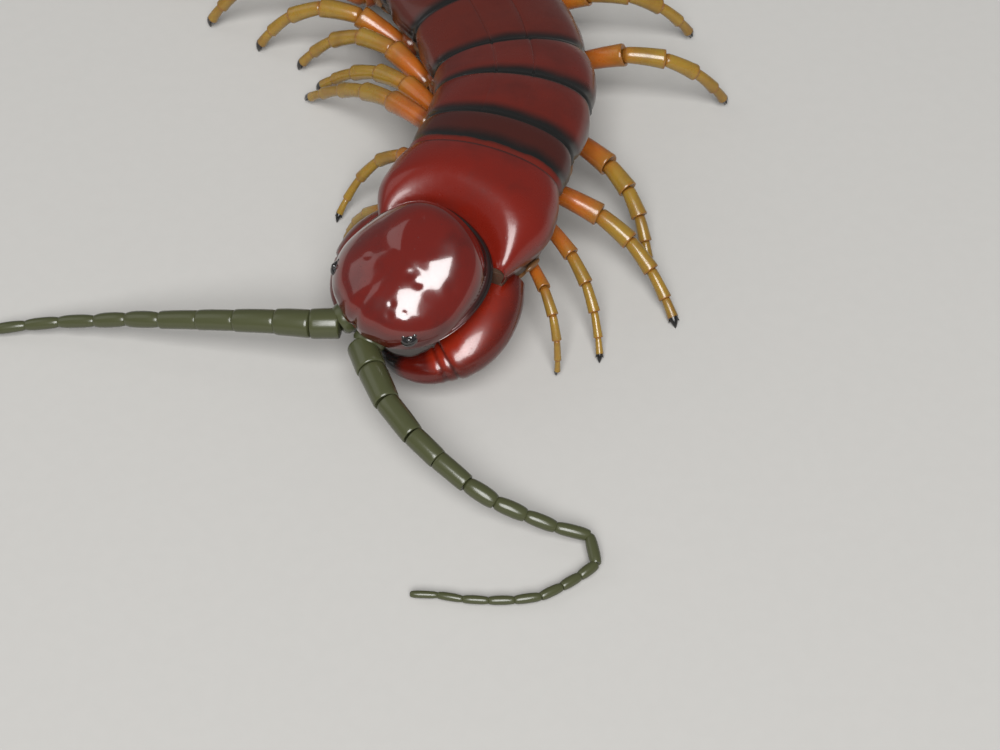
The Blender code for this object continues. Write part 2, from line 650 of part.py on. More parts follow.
def lobes(spine, grow=0.0):
    """The pointed lobe on each side of the last segment."""
    made = []
    for side in (1, -1):
        frame = spine.frame(spine.length)
        half = spine.width(spine.length) / 2 * TAIL_TAPER
        depth = spine.width(spine.length) * DEPTH_SHARE * TAIL_TAPER
        place = Vector((side * LOBE_SIDE * half, 0, LOBE_LEVEL * depth))
        shares = ((-0.6, 0.7), (0.0, 1.0), (0.45, 0.62))
        points = [frame @ (place + Vector((0, share * LOBE_LENGTH, 0))) for share, _ in shares]
        points.append(frame @ (place + Vector((0, LOBE_LENGTH, 0))))
        radii = [width * LOBE_WIDTH / 2 + grow for _, width in shares] + [LOBE_TIP / 2 + grow]
        made.append(tube("lobe", points, radii, LEG_SIDES))
    return made


def build_trunk(spine):
    """The trunk in lengths of three segments, each a thin gap from the next."""
    made = []
    for first in range(1, SEGMENTS + 1, SEGMENTS_PER_NODE):
        last = first + SEGMENTS_PER_NODE - 1
        piece = loft(f"trunk_{len(made) + 1}", trunk_rings(spine, first, last))
        if first == 1:
            boolean(piece, [head_mesh(spine, GAP, "cutter")], "DIFFERENCE")
        if last == SEGMENTS:
            boolean(piece, lobes(spine), "UNION")
        made.append(piece)
    return made


def material(name):
    colour, roughness = COLOURS[name]
    made = bpy.data.materials.get(name) or bpy.data.materials.new(name)
    made.use_nodes = True
    shader = made.node_tree.nodes["Principled BSDF"]
    shader.inputs["Base Color"].default_value = (*colour, 1.0)
    shader.inputs["Roughness"].default_value = roughness
    shader.inputs["Metallic"].default_value = 0.0
    return made


def main():
    for old in list(bpy.data.objects):
        bpy.data.objects.remove(old)
    for old in list(bpy.data.collections):
        bpy.data.collections.remove(old)
    spine = Spine()
    base = claw_shield(spine)
    boolean(base, neck_cutters(spine), "DIFFERENCE")
    groups = {
        "head_shell": [build_head(spine)],
        "back_plates": build_trunk(spine),
        "poison_claw_shell": [base, build_mouthparts(spine)],
        "leg_shell": [],
        "feeler_shell": [],
        "eye_glaze": [],
    }
    for side in (1, -1):
        groups["poison_claw_shell"].append(build_poison_claw(spine, side))
        groups["leg_shell"] += [build_leg(spine, number, side) for number in range(1, SEGMENTS)]
        groups["leg_shell"].append(build_last_leg(spine, side))
        groups["feeler_shell"].append(build_antenna(spine, side))
        groups["eye_glaze"].append(build_eye(spine, side))
    collection = bpy.data.collections.new(COLLECTION)
    bpy.context.scene.collection.children.link(collection)
    for name, members in groups.items():
        for member in members:
            member.data.materials.clear()
            member.data.materials.append(material(name))
            collection.objects.link(member)
            bpy.context.scene.collection.objects.unlink(member)


if __name__ == "__main__":
    main()
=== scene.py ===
"""Giant centipede: the finished surfaces of a still, life-size model, laid over its packed solids.

All sizes are in metres with +Z up. The head faces -Y, the tail is at +Y and the animal's own
left is at +X. The trunk follows the same curved centre line as the solids, and the plates,
legs, poison claws and feelers are placed from it.
"""
import math
from bisect import bisect_right
from functools import lru_cache

import bmesh
import bpy
import numpy as np
from bpy.props import FloatProperty, FloatVectorProperty, IntProperty, PointerProperty
from mathutils import Matrix, Vector, noise


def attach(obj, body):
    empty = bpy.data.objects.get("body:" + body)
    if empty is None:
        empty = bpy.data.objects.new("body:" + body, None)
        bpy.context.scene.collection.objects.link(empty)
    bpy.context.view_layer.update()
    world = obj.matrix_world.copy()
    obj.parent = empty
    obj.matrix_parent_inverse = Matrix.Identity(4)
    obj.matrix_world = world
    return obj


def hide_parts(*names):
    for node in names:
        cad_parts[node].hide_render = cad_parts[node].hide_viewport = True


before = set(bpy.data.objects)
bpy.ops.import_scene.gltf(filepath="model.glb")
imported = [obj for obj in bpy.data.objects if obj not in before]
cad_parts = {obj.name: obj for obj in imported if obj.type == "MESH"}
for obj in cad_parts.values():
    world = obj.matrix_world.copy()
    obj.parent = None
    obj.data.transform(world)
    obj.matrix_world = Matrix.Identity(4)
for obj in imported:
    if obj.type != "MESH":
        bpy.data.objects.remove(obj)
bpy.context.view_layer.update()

bl_info = {
    "name": "Giant centipede",
    "version": (1, 0, 0),
    "blender": (4, 5, 0),
    "location": "3D View > Sidebar > Centipede",
    "description": "Lays finished shell, legs, feelers and skin over the solids of a giant centipede",
    "category": "Add Mesh",
}

MM = 0.001
UP = Vector((0, 0, 1))
WELD = 0.0001 * MM
SHARP_ANGLE = math.radians(55.0)
RIM_ANGLE = math.radians(60)
# Numbers kept at each point for the materials: place along the piece, place across it, nearness of a joint
# or millimetres behind a plate's front, and the segment's number
MARKS = ("run", "across", "joint", "number")

# Trunk: plate lengths of the 21 segments that carry legs, and how the centre line turns
PLATE_LENGTHS = [
    length * MM
    for length in (
        5.6, 3.1, 5.2, 4.8, 7.2, 6.4, 9.0, 9.4, 7.4, 9.8, 7.8,
        10.0, 8.0, 10.0, 8.0, 9.8, 7.8, 9.2, 7.4, 7.8, 8.4,
    )
]
SEGMENTS = len(PLATE_LENGTHS)
WIDTH_AT = ((1, 12.5), (2, 11.4), (3, 11.6), (6, 12.6), (10, 13.6), (15, 13.6), (19, 12.0), (21, 9.6))
RISE_SHARE = 0.24
DEPTH_SHARE = 0.30
NECK_RISE = 1.2
NECK_RISE_SEGMENTS = 4
DOME_POWER = 0.85
BELLY_CLEARANCE = 1.6 * MM
SPINE_START = (12.60 * MM, -77.40 * MM)
SPINE_STEP = 0.1 * MM
SPINE_MARGIN = (3.2 * MM, 6.8 * MM)
HEADING_AT = ((0, 22), (1, 19), (2, 18), (3, 10), (4, -8), (5, -20), (6, -28), (8, -30), (10, -18),
              (12, 4), (14, 20), (16, 24), (18, 14), (20, 0), (21, -4))
PITCH_AT = ((0, 6), (1, 2), (2, -5), (3, -10), (4, -10), (5, -6), (6, -2), (7, 0), (21, 0))

# One plate along its length: shares of the full width and of the full height
PLATE_SPREADS = ((0.0, 0.90), (0.14, 0.945), (0.35, 0.985), (0.68, 1.0), (0.9, 0.99), (1.0, 0.975))
PLATE_HEIGHTS = ((0.0, 0.90), (0.14, 0.935), (0.35, 0.98), (0.68, 1.0), (0.9, 1.0), (1.0, 0.985))
COLLAR_SPREADS = ((-0.3, 0.72), (0.0, 0.86), (0.3, 0.985), (0.6, 1.0), (0.85, 0.985), (1.0, 0.955))
COLLAR_HEIGHTS = ((-0.3, 0.55), (0.0, 0.80), (0.3, 0.96), (0.6, 1.0), (0.85, 0.995), (1.0, 0.965))
PLATE_ROWS = (0.0, 0.03, 0.06, 0.08, 0.10, 0.12, 0.15, 0.20, 0.27, 0.35, 0.43, 0.51, 0.59, 0.67, 0.75, 0.82,
              0.88, 0.92, 0.95, 0.97, 0.985, 1.0)
COLLAR_ROWS = (-0.28, -0.2, -0.12, -0.06, 0.0, 0.05, 0.1, 0.15, 0.2, 0.25, 0.3, 0.35, 0.4, 0.46, 0.52, 0.58,
               0.64, 0.70, 0.76, 0.82, 0.87, 0.91, 0.94, 0.965, 0.985, 1.0)
TAIL_TAPER = 0.80
# Place of the ridge across the front of a plate, in mm behind its front edge
RIDGE = 0.72

# Lower half of a trunk section, from its side edge to the middle of the belly
FLANK_WIDTHS = ((0.0, 0.965), (0.12, 0.93), (0.28, 0.86), (0.46, 0.79), (0.66, 0.60), (0.84, 0.28),
                (1.0, 0.0))
FLANK_LEVELS = ((0.0, 0.02), (0.12, -0.18), (0.28, -0.42), (0.46, -0.72), (0.66, -0.95), (0.84, -1.0),
                (1.0, -1.0))
SKIN_SIDES = 72
SKIN_STEP = 0.42 * MM
SKIN_START = -1.6 * MM
# Belly plates: half a plate's width as a share of half the trunk's, its length as a share, and its grid
BELLY_REACH = 0.56
BELLY_SHARE = 0.94
BELLY_GROOVE = 0.42
BELLY_CELLS = 36
BELLY_ROWS = 20
# Small plates round a leg's root: mm behind it, place round the flank, half length and half height in mm
SCUTE_PLACES = ((-1.25, 0.34, 1.0, 0.55), (1.35, 0.34, 1.1, 0.55), (0.1, 0.18, 1.3, 0.42),
                (-1.3, 0.56, 0.9, 0.5), (1.4, 0.58, 1.0, 0.5), (2.4, 0.20, 0.7, 0.5))
SCUTE_DEPTH = 0.22
# Breathing holes: segments that have one, half sizes, and the rim's (spread, level) from outside in
HOLE_SEGMENTS = (3, 5, 8, 10, 12, 14, 16, 18, 20)
HOLE_SIZE = Vector((0.62, 0.34, 0.20)) * MM
HOLE_PROFILE = ((1.35, -0.9), (1.30, 0.0), (1.15, 0.55), (1.0, 0.70), (0.84, 0.45), (0.70, -0.2), (0.40, -0.6),
                (0.0, -0.7))

# Walking legs: length and thickness in mm at a segment's number, then shares for the six articles
LEG_LENGTH_AT = ((5, 14.8), (10, 16.8), (16, 18.4), (20, 20.5))
LEG_THICKNESS_AT = ((1, 0.95), (2, 1.2), (3, 1.7), (10, 2.0), (20, 2.1))
ARTICLE_LENGTHS = (0.27, 0.21, 0.19, 0.165, 0.105, 0.06)
ARTICLE_BENDS = (1.0, 1.0, 0.7, 0.35, 0.6)
ARTICLE_WIDTHS = (1.0, 0.86, 0.72, 0.56, 0.46, 0.34)
# Roots of the legs: shares of the segment's length, of half the width and of the depth
LEG_STATION = 0.55
LEG_ROOT_REACH = 0.93
LEG_ROOT_DROP = 0.66
LEG_BURIED = 0.30
LEG_BURIED_DROP = 0.9
SWING = 20.0
SWING_PERIOD = 8.5
SWING_TREND = 1.5
SWING_MIDDLE = 8
LEAN = 14.0
REACH_SHARE = 0.80
# The first legs stand as in the pose: reach in mm, degrees swung towards the tail, lean, length in mm,
# and the place of the root as the three shares above
FRONT_STANCES = {
    ("left", 1): (5.86, -51.0, -7.0, 9.3, 0.41, 0.76, 0.80),
    ("left", 2): (8.91, -46.9, -40.5, 10.9, 0.20, 0.79, 0.93),
    ("left", 3): (11.87, -27.4, -60.0, 13.6, 0.20, 0.72, 0.93),
    ("left", 4): (9.71, -55.3, -41.6, 11.3, 0.32, 0.80, 0.93),
    ("right", 1): (5.96, 15.0, -3.4, 9.5, 0.53, 0.74, 0.47),
    ("right", 2): (7.25, -5.1, 60.0, 12.0, 0.55, 0.78, 0.45),
    ("right", 3): (14.6, 34.0, 20.0, 16.6, 0.74, 1.00, 0.34),
    ("right", 4): (13.3, 44.0, 26.0, 15.2, 0.68, 0.93, 0.60),
    ("right", 5): (12.4, 47.0, 20.0, 15.0, 0.64, 0.93, 0.66),
    ("right", 6): (12.4, 41.0, 10.0, 15.3, 0.59, 0.93, 0.66),
    ("right", 7): (12.6, 29.0, -4.0, 15.7, 0.55, 0.93, 0.66),
    ("right", 8): (13.0, 14.0, -14.0, 16.0, 0.55, 0.93, 0.66),
}
# One article from its socket to its lip: share of its length and share of its width
ARTICLE_PROFILE = ((-0.06, 0.30), (-0.05, 0.62), (0.0, 0.74), (0.012, 0.82), (0.04, 0.87), (0.14, 0.90),
                   (0.35, 0.92), (0.62, 0.945), (0.84, 0.975), (0.93, 1.0), (0.975, 1.005), (1.0, 0.96),
                   (1.004, 0.88), (0.985, 0.78), (0.95, 0.40))
HIP_PROFILE = ((-0.05, 0.4), (0.0, 0.8), (0.3, 1.0), (0.6, 1.06), (0.85, 1.02), (0.97, 0.90), (1.0, 0.76),
               (0.96, 0.4))
ARTICLE_BOW = 0.025
LEG_RUN_END = 0.92
FOOT_HEIGHT = 0.03 * MM

# Last pair of legs: (length, width) of the articles in mm, and thorns on the first one
LAST_LEG_ARTICLES = ((7.8, 2.9), (7.0, 2.6), (5.8, 2.2), (4.2, 1.7), (3.0, 1.2), (1.5, 0.5))
LAST_LEG_BENDS = (0.6, 0.8, 0.8, 0.5, 0.6)
LAST_LEG_SPLAY = 24.0
LAST_LEG_REACH = 26.0 * MM
LAST_LEG_LEAN = 10.0
THORN_PLACES = ((0.42, 20.0), (0.66, 20.0), (0.92, 12.0), (0.50, 75.0), (0.78, 75.0))
LAST_LEG_SIDES = 28
LAST_LEG_SPUR = 0.5 * MM
LOBE_SIZE = (3.4 * MM, 2.2 * MM)
LOBE_PROFILE = ((-0.65, 0.0), (-0.62, 0.5), (-0.4, 0.8), (0.0, 1.0), (0.3, 0.86), (0.5, 0.62), (0.7, 0.46),
                (0.88, 0.36), (1.0, 0.16))

# Feelers: width in mm at an article's number, and the place of their roots in the head's frame
FEELER_WIDTH_AT = ((1, 2.15), (2, 2.0), (3, 1.7), (4, 1.5), (5, 1.38), (6, 1.2), (8, 0.95), (11, 0.75),
                   (18, 0.5))
FEELER_SOCKET = ((-0.05, 0.5), (0.0, 0.9), (0.3, 1.04), (0.7, 1.04), (0.92, 0.96), (1.0, 0.8), (0.96, 0.4))
FEELER_BOW = 0.01
FEELER_ROOT = Vector((1.15, -5.5, -1.1)) * MM
FEELER_SHIFT = -0.3 * MM
FEELER_ROOT_DEPTH = 2.1 * MM
FEELER_REST = 0.25 * MM
FEELER_DESCENT = 11
# Each article's length in mm and its way on the floor plan: degrees from +X, counterclockwise
LEFT_FEELER = (
    (2.13, -70.2), (2.76, -66.6), (3.04, -54.3), (2.32, -43.7), (2.45, -39.0), (2.19, -28.4),
    (2.12, -16.4), (2.06, -14.6), (2.27, -8.8), (2.04, -78.9), (1.35, -142.4), (1.40, -145.9),
    (1.53, -151.0), (1.66, -171.3), (1.63, -179.1), (1.64, -184.3), (1.61, -191.2), (1.77, -182.8),
)
RIGHT_FEELER = (
    (1.94, 178.3), (2.45, 169.4), (2.93, 169.9), (2.72, 167.9), (2.86, 168.2), (2.67, 164.9),
    (2.48, 169.0), (2.76, 170.3), (2.52, 176.6), (2.32, 182.3), (2.10, 185.0), (2.00, 188.0),
    (1.90, 191.0), (1.80, 194.0), (1.70, 197.0), (1.62, 199.0), (1.60, 201.0), (1.77, 203.0),
)
FEELER_ARTICLES = len(LEFT_FEELER)
GLOSSY_ARTICLES = 5
GLOSS_ENDS = (0.27, 0.29)
# Articles of the glossy base are near cylinders, those further out are spindles
TUBE_PROFILE = ((-0.04, 0.30), (-0.03, 0.72), (0.0, 0.86), (0.01, 0.92), (0.03, 0.955), (0.10, 0.975),
                (0.35, 0.99), (0.62, 1.0), (0.86, 1.0), (0.95, 0.99), (0.985, 0.965), (1.0, 0.92),
                (0.99, 0.84), (0.96, 0.40))
SPINDLE_PROFILE = ((-0.04, 0.30), (-0.03, 0.56), (0.0, 0.66), (0.015, 0.74), (0.05, 0.82), (0.14, 0.91),
                   (0.30, 0.98), (0.50, 1.0), (0.70, 0.99), (0.84, 0.94), (0.94, 0.86), (0.985, 0.80),
                   (1.0, 0.74), (0.99, 0.66), (0.96, 0.35))
ROUNDED_PROFILE = SPINDLE_PROFILE[:-5] + ((0.95, 0.80), (0.985, 0.62), (1.0, 0.40), (1.002, 0.15))

# Poison claws under the head: (to the side, forward, up) in the head's frame and width, in mm
POISON_CLAW_PATH = (
    ((2.9, -4.8, -3.7), 3.4), ((4.0, -3.2, -3.2), 3.9), ((4.8, -1.2, -3.0), 4.0), ((5.05, 0.6, -3.05), 3.6),
    ((4.75, 2.1, -3.2), 2.8), ((4.1, 3.2, -3.35), 2.3), ((3.3, 3.9, -3.5), 1.7), ((2.35, 4.3, -3.65), 1.3),
    ((1.5, 4.4, -3.8), 0.9), ((0.8, 4.3, -3.9), 0.5),
)
POISON_CLAW_ROWS = 96
POISON_CLAW_SIDES = 40
# Teeth inside each poison claw: root, tip and width, as the path gives them
POISON_CLAW_TEETH = (((3.05, 0.3, -3.5), (2.35, 1.0, -3.6), 1.1), ((2.75, 0.9, -3.55), (2.2, 1.5, -3.65), 0.6))
CLAW_SHIELD_SIZE = Vector((8.0, 6.4, 2.4)) * MM
CLAW_SHIELD_PLACE = Vector((0, 3.1, -4.6)) * MM
CLAW_SHIELD_ROUND = 1.05 * MM
CLAW_SHIELD_CUTS = 26
PALP_PATH = (((0.6, -1.6, -3.4), 0.8), ((1.0, -2.4, -3.3), 0.85), ((1.25, -3.1, -3.2), 0.75),
             ((1.1, -3.7, -3.25), 0.6), ((0.75, -4.1, -3.4), 0.35))

# Eyes: four domes on a patch at each front corner of the head
EYE_PLACE = Vector((3.55, -3.15, 0.84)) * MM
EYE_PATCH = Vector((0.62, 0.70, 0.50)) * MM
EYE_DOME = 0.19 * MM
EYE_DOME_PLACES = ((-0.18, -0.32), (0.26, -0.22), (-0.18, 0.24), (0.26, 0.28))

# Head: slices under the rim as share of the outline, of the depth and of the length moved back
HEAD_LEVELS = ((0.97, 0.0, 0.0), (0.955, -0.14, 0.0), (0.92, -0.36, 0.01), (0.85, -0.62, 0.03),
               (0.76, -0.84, 0.055), (0.64, -0.96, 0.08), (0.48, -1.0, 0.10), (0.25, -1.02, 0.10),
               (0.0, -1.03, 0.10))
HEAD_SIDES = 96
SHIELD_CELLS = 150
SHIELD_EDGE = 0.21 * MM
# Rolled rim of the shield: how far each ring moves in, as a share, and its level in mm over the edge
SHIELD_RIM = ((0.004, -0.06), (0.02, -0.13), (0.05, -0.15), (0.10, -0.08), (0.20, 0.25))
# The dome's steepness and bluntness across, and its steepness ahead and behind
DOME_STEEP = (1.9, 4.4, 6.0)
DOME_BLUNT = (0.60, 0.52)
TUCK_SOFTNESS = 0.5 * MM
# Dents in the shield's surface: place to the left and forward of its middle, radius and depth, in mm
DENTS = ((1.15, 0.55, 0.34, 0.06), (1.95, 0.55, 0.30, 0.05), (2.7, 2.55, 0.24, 0.06),
         (2.05, 3.35, 0.26, 0.05), (1.7, 2.75, 0.22, 0.06), (-1.9, 1.6, 0.30, 0.05),
         (-1.2, -2.6, 0.34, 0.05), (3.6, -0.9, 0.42, 0.07))

# Shells: roughness of the clear coat, and how light spreads in the thinner ones
COAT_ROUGHNESS = 0.08
GLOW_DEPTH = 0.5 * MM
GLOW_RADIUS = (1.0, 0.30, 0.10)

# Photo frame: where the middle of the head's rim stands in it, and the scale there
IMAGE_SIZE = (1000, 750)
HEAD_PIXEL = (412, 277)
PIXELS_PER_METRE = 15000.0
SENSOR = 36.0
# Soft lights: place from the head and size, in metres
KEY_PLACE = Vector((0.0, -0.50, 0.60))
KEY_SIZE = (0.44, 0.52)
SIDE_PLACE = Vector((-0.45, 0.10, 0.35))
SIDE_SIZE = (0.40, 0.40)
FLOOR_RADIUS = 3.0


def length_property(name, description, millimetres):
    return FloatProperty(name=name, description=description, default=millimetres * MM, unit="LENGTH")


def angle_property(name, description, degrees):
    return FloatProperty(name=name, description=description, default=math.radians(degrees), subtype="ANGLE")


def colour_property(name, description, default):
    return FloatVectorProperty(name=name, description=description, default=default, subtype="COLOR", size=3,
                               min=0.0, max=1.0)


class HeadSettings(bpy.types.PropertyGroup):
    """Sizes of the head shield."""

    width: length_property("Width", "Width of the shield", 10.2)
    length: length_property("Length", "Length of the shield", 10.6)
    rise: length_property("Rise", "Height of the dome over its rim", 3.2)
    depth: length_property("Depth", "Depth of the head under its rim", 2.6)
    heading: angle_property("Heading", "Turn of the head to its right", 50)
    pitch: angle_property("Pitch", "How far the front is tipped down", 17)
    roll: angle_property("Roll", "How far the left side is tipped down", 9)
    overlap: length_property("Overlap", "How far the shield reaches over the first plate", 0.9)
    lift: length_property("Lift", "Height of the shield over the neck", 0.9)
    shift: length_property("Shift", "Sideways place of the head on the neck", 0.75)
    bead: length_property("Rim bead", "Height of the raised rim", 0.10)
    brim: FloatProperty(name="Brim", default=0.075,
                        description="Width of the flat brim at the rear, as a share of half the shield")
    lean: FloatProperty(name="Lean", default=0.10,
                        description="How much the dome falls off towards the front, over its length")


class TrunkSettings(bpy.types.PropertyGroup):
    """Sizes of the plates on the back and belly."""

    wall: length_property("Plate wall", "Thickness of a plate", 0.16)
    overlap: length_property("Overlap", "How far a plate reaches over the next one", 0.45)
    suture_place: FloatProperty(name="Suture place", default=0.24,
                                description="Place of the two lengthwise grooves, as a share of half the width")
    suture_depth: length_property("Suture depth", "Depth of the lengthwise grooves", 0.10)
    suture_width: length_property("Suture width", "Width of the lengthwise grooves", 0.09)
    edge_roll: length_property("Side rim", "Height of the raised side rims", 0.10)
    relief: length_property("Relief", "Height of the soft unevenness of a plate", 0.05)
    fold_depth: length_property("Skin folds", "Depth of the folds in the skin", 0.20)


class LimbSettings(bpy.types.PropertyGroup):
    """Sizes shared by the legs, feelers and poison claws."""

    leg_sides: IntProperty(name="Leg sides", description="Faces round an article of a leg", default=18)
    feeler_sides: IntProperty(name="Feeler sides", description="Faces round an article of a feeler", default=24)
    spur: length_property("Spur", "Length of the spur at the end of the first tarsus", 0.42)
    thorn: length_property("Thorn", "Length of a thorn of the last legs", 1.0)
    claw_flatness: FloatProperty(name="Poison claw flatness", default=0.86,
                                 description="Height of a poison claw over its width")


class FinishSettings(bpy.types.PropertyGroup):
    """Colours of the shell, skin and claws."""

    head: colour_property("Head", "Cherry-brown of the shield", (0.105, 0.0050, 0.0022))
    # The edge colour also darkens the shield's fine pits as painted shade
    head_dark: colour_property("Head edge", "Blackish rim of the shield", (0.008, 0.003, 0.0025))
    collar: colour_property("First plate", "Bright red of the first plate", (0.135, 0.0072, 0.0028))
    second: colour_property("Second plate", "Dark brown of the second plate", (0.042, 0.0062, 0.0034))
    plate: colour_property("Plates", "Red-brown of the plates", (0.105, 0.0080, 0.0032))
    plate_rear: colour_property("Rear plates", "Darker brown of the plates of the middle and rear",
                                (0.062, 0.0105, 0.0052))
    # The band's black is also painted as shade on the sides of the plates
    band: colour_property("Front bands", "Black of the front of each plate", (0.0045, 0.0042, 0.0038))
    claw_shell: colour_property("Poison claw", "Orange-red of the poison claws", (0.210, 0.0130, 0.0035))
    # This dark red also paints the shade at the roots of the walking legs
    claw_deep: colour_property("Poison claw joint", "Dark red of their second article",
                               (0.070, 0.0042, 0.0022))
    claw_tip: colour_property("Claw tips", "Black of claws, teeth and thorns", (0.0060, 0.0050, 0.0045))
    leg_root: colour_property("Leg root", "Orange of the first article", (0.340, 0.0880, 0.0100))
    leg_middle: colour_property("Leg", "Olive-yellow of the outer articles", (0.250, 0.1480, 0.0200))
    leg_joint: colour_property("Leg joints", "Amber rings at the joints", (0.200, 0.0750, 0.0110))
    feeler: colour_property("Feeler", "Dark olive of the first articles", (0.0190, 0.0240, 0.0120))
    feeler_ring: colour_property("Feeler rings", "Orange rings at the first joints", (0.3000, 0.1100, 0.0150))
    feeler_tip: colour_property("Feeler end", "Grey-brown of the velvety articles", (0.0460, 0.0430, 0.0350))
    skin: colour_property("Skin", "Brown of the soft skin between the plates", (0.0900, 0.0460, 0.0260))
    belly: colour_property("Belly", "Amber-brown of the belly plates", (0.1750, 0.0800, 0.0280))
    eye: colour_property("Eyes", "Black of the eyes", (0.0050, 0.0045, 0.0045))


class StageSettings(bpy.types.PropertyGroup):
    """Floor, light and camera."""

    floor: colour_property("Floor", "Pale colour of the floor", (0.460, 0.450, 0.430))
    elevation: angle_property("Elevation", "How far the camera looks down", 50)
    distance: length_property("Distance", "Camera to head, along its line of sight", 130.0)
    key_power: FloatProperty(name="Key light", default=9.5,
                             description="Power of the soft light behind the camera, in watts")
    side_power: FloatProperty(name="Side light", default=0.35,
                              description="Power of the wide light from the left, in watts")
    sky: FloatProperty(name="Sky", description="Brightness of the even light all round", default=0.18)


def along(knots, where):
    """The value at `where` on straight runs between (place, value) knots."""
    n = max(0, min(len(knots) - 2, bisect_right(knots, (where, math.inf)) - 1))
    (start, first), (end, second) = knots[n], knots[n + 1]
    return first + (second - first) * min(1.0, max(0.0, (where - start) / (end - start)))


@lru_cache
def knot_slopes(knots):
    places, values = zip(*knots)
    return [float(slope) for slope in np.gradient(np.array(values, float), np.array(places, float))]


def smooth_along(knots, where):
    """The value at `where` on a smooth curve through (place, value) knots."""
    slopes = knot_slopes(knots)
    n = max(0, min(len(knots) - 2, bisect_right(knots, (where, math.inf)) - 1))
    (start, first), (end, second) = knots[n], knots[n + 1]
    span = end - start
    t = min(1.0, max(0.0, (where - start) / span))
    hold = (2 * t ** 3 - 3 * t ** 2 + 1) * first + (3 * t ** 2 - 2 * t ** 3) * second
    lean = (t ** 3 - 2 * t ** 2 + t) * slopes[n] + (t ** 3 - t ** 2) * slopes[n + 1]
    return hold + lean * span


def hump(distance, width):
    """A soft bump of height one at no distance."""
    return math.exp(-((distance / width) ** 2))


def ease(value, low, high):
    """Nought below `low`, one above `high`, and smooth in between."""
    t = min(1.0, max(0.0, (value - low) / (high - low)))
    return t * t * (3 - 2 * t)


def side_name(side):
    return "left" if side > 0 else "right"


def frame_matrix(place, heading, pitch, roll):
    turn = Matrix.Rotation(-heading, 4, "Z") @ Matrix.Rotation(pitch, 4, "X") @ Matrix.Rotation(roll, 4, "Y")
    return Matrix.Translation(place) @ turn


class Spine:
    """The trunk's centre line, at the height of the plates' side edges."""

    def __init__(self):
        self.ends = np.concatenate([[0.0], np.cumsum(PLATE_LENGTHS)])
        self.length = float(self.ends[-1])
        before, behind = SPINE_MARGIN
        self.stations = np.arange(-before, self.length + behind, SPINE_STEP)
        numbers = np.interp(self.stations, self.ends, np.arange(SEGMENTS + 1))
        self.heading = np.radians(np.interp(numbers, *zip(*HEADING_AT)))
        self.pitch = np.radians(np.interp(numbers, *zip(*PITCH_AT)))
        level = np.cos(self.pitch)
        way = np.stack([np.sin(self.heading) * level, np.cos(self.heading) * level, np.sin(self.pitch)], axis=1)
        self.points = np.cumsum(way * SPINE_STEP, axis=0)
        first = int(np.searchsorted(self.stations, 0.0))
        rest_height = BELLY_CLEARANCE + DEPTH_SHARE * along(WIDTH_AT, 12) * MM
        self.points[:, :2] += np.array(SPINE_START) - self.points[first, :2]
        self.points[:, 2] += rest_height - self.points[-1, 2]

    def frame(self, station):
        """A matrix whose columns are the animal's left, the way to the tail, up, and the place."""
        place = Vector([float(np.interp(station, self.stations, self.points[:, k])) for k in range(3)])
        heading = float(np.interp(station, self.stations, self.heading))
        pitch = float(np.interp(station, self.stations, self.pitch))
        return frame_matrix(place, heading, pitch, 0.0)

    def width(self, station):
        number = float(np.interp(station, self.ends, np.arange(SEGMENTS + 1))) + 0.5
        return along(WIDTH_AT, number) * MM

    def inside(self, number, share):
        """The station at a share of the way along one segment."""
        return self.ends[number - 1] + share * (self.ends[number] - self.ends[number - 1])

    def section(self, station, spread, height):
        """Half the width, the rise of the back and the depth of the belly at a station."""
        neck = max(0.0, 1.0 - station / self.ends[NECK_RISE_SEGMENTS])
        width = self.width(station)
        rise = width * RISE_SHARE * height * (1 + (NECK_RISE - 1) * neck)
        return width / 2 * spread, rise, width * DEPTH_SHARE * (0.5 + 0.5 * height)


def head_frame(spine):
    """The head's frame: origin at the middle of the shield's rim, columns left, tailwards, up."""
    head = bpy.context.scene.centipede_head
    neck = spine.frame(0.0)
    turn = frame_matrix(Vector(), head.heading, head.pitch, head.roll)
    tailwards = turn.to_3x3() @ Vector((0, 1, 0))
    offset = neck.to_3x3() @ Vector((head.shift, 0, head.lift))
    place = neck.translation - tailwards * (head.length / 2 - head.overlap) + offset
    return Matrix.Translation(place) @ turn


def head_outline(angle):
    """The shield's outline seen from above, as shares of half its width and length."""
    x, y = math.sin(angle), -math.cos(angle)
    narrow = 1.0 - 0.10 * max(0.0, -y) ** 2
    blunt = 1.0 + 0.05 * math.sin(2 * angle) ** 2
    return x * narrow * blunt, y * blunt


def new_shape():
    shape = bmesh.new()
    for mark in MARKS:
        shape.verts.layers.float.new(mark)
    return shape


def mark_verts(shape, verts, *marks):
    for layer, value in zip([shape.verts.layers.float[mark] for mark in MARKS], marks):
        for vert in verts:
            vert[layer] = value


def lay_grid(shape, columns, rows, place):
    """Adds a grid of quads and moves its points: place(column, row) gives a point and its marks."""
    made = bmesh.ops.create_grid(shape, x_segments=columns, y_segments=rows, size=1.0)["verts"]
    layers = [shape.verts.layers.float[mark] for mark in MARKS]
    for vert in made:
        column = round((vert.co.x + 1.0) * columns / 2)
        row = round((vert.co.y + 1.0) * rows / 2)
        vert.co, marks = place(column, row)
        for layer, value in zip(layers, marks):
            vert[layer] = value
    return made


def roll_tube(shape, sides, rows, place):
    """Rolls a grid into a tube, closed where a ring has no width.

    place(angle, row) gives a point and its marks.
    """

    def place_column(column, row):
        return place(2 * math.pi * (column % sides) / sides, row)

    made = lay_grid(shape, sides, rows - 1, place_column)
    bmesh.ops.remove_doubles(shape, verts=made, dist=WELD)


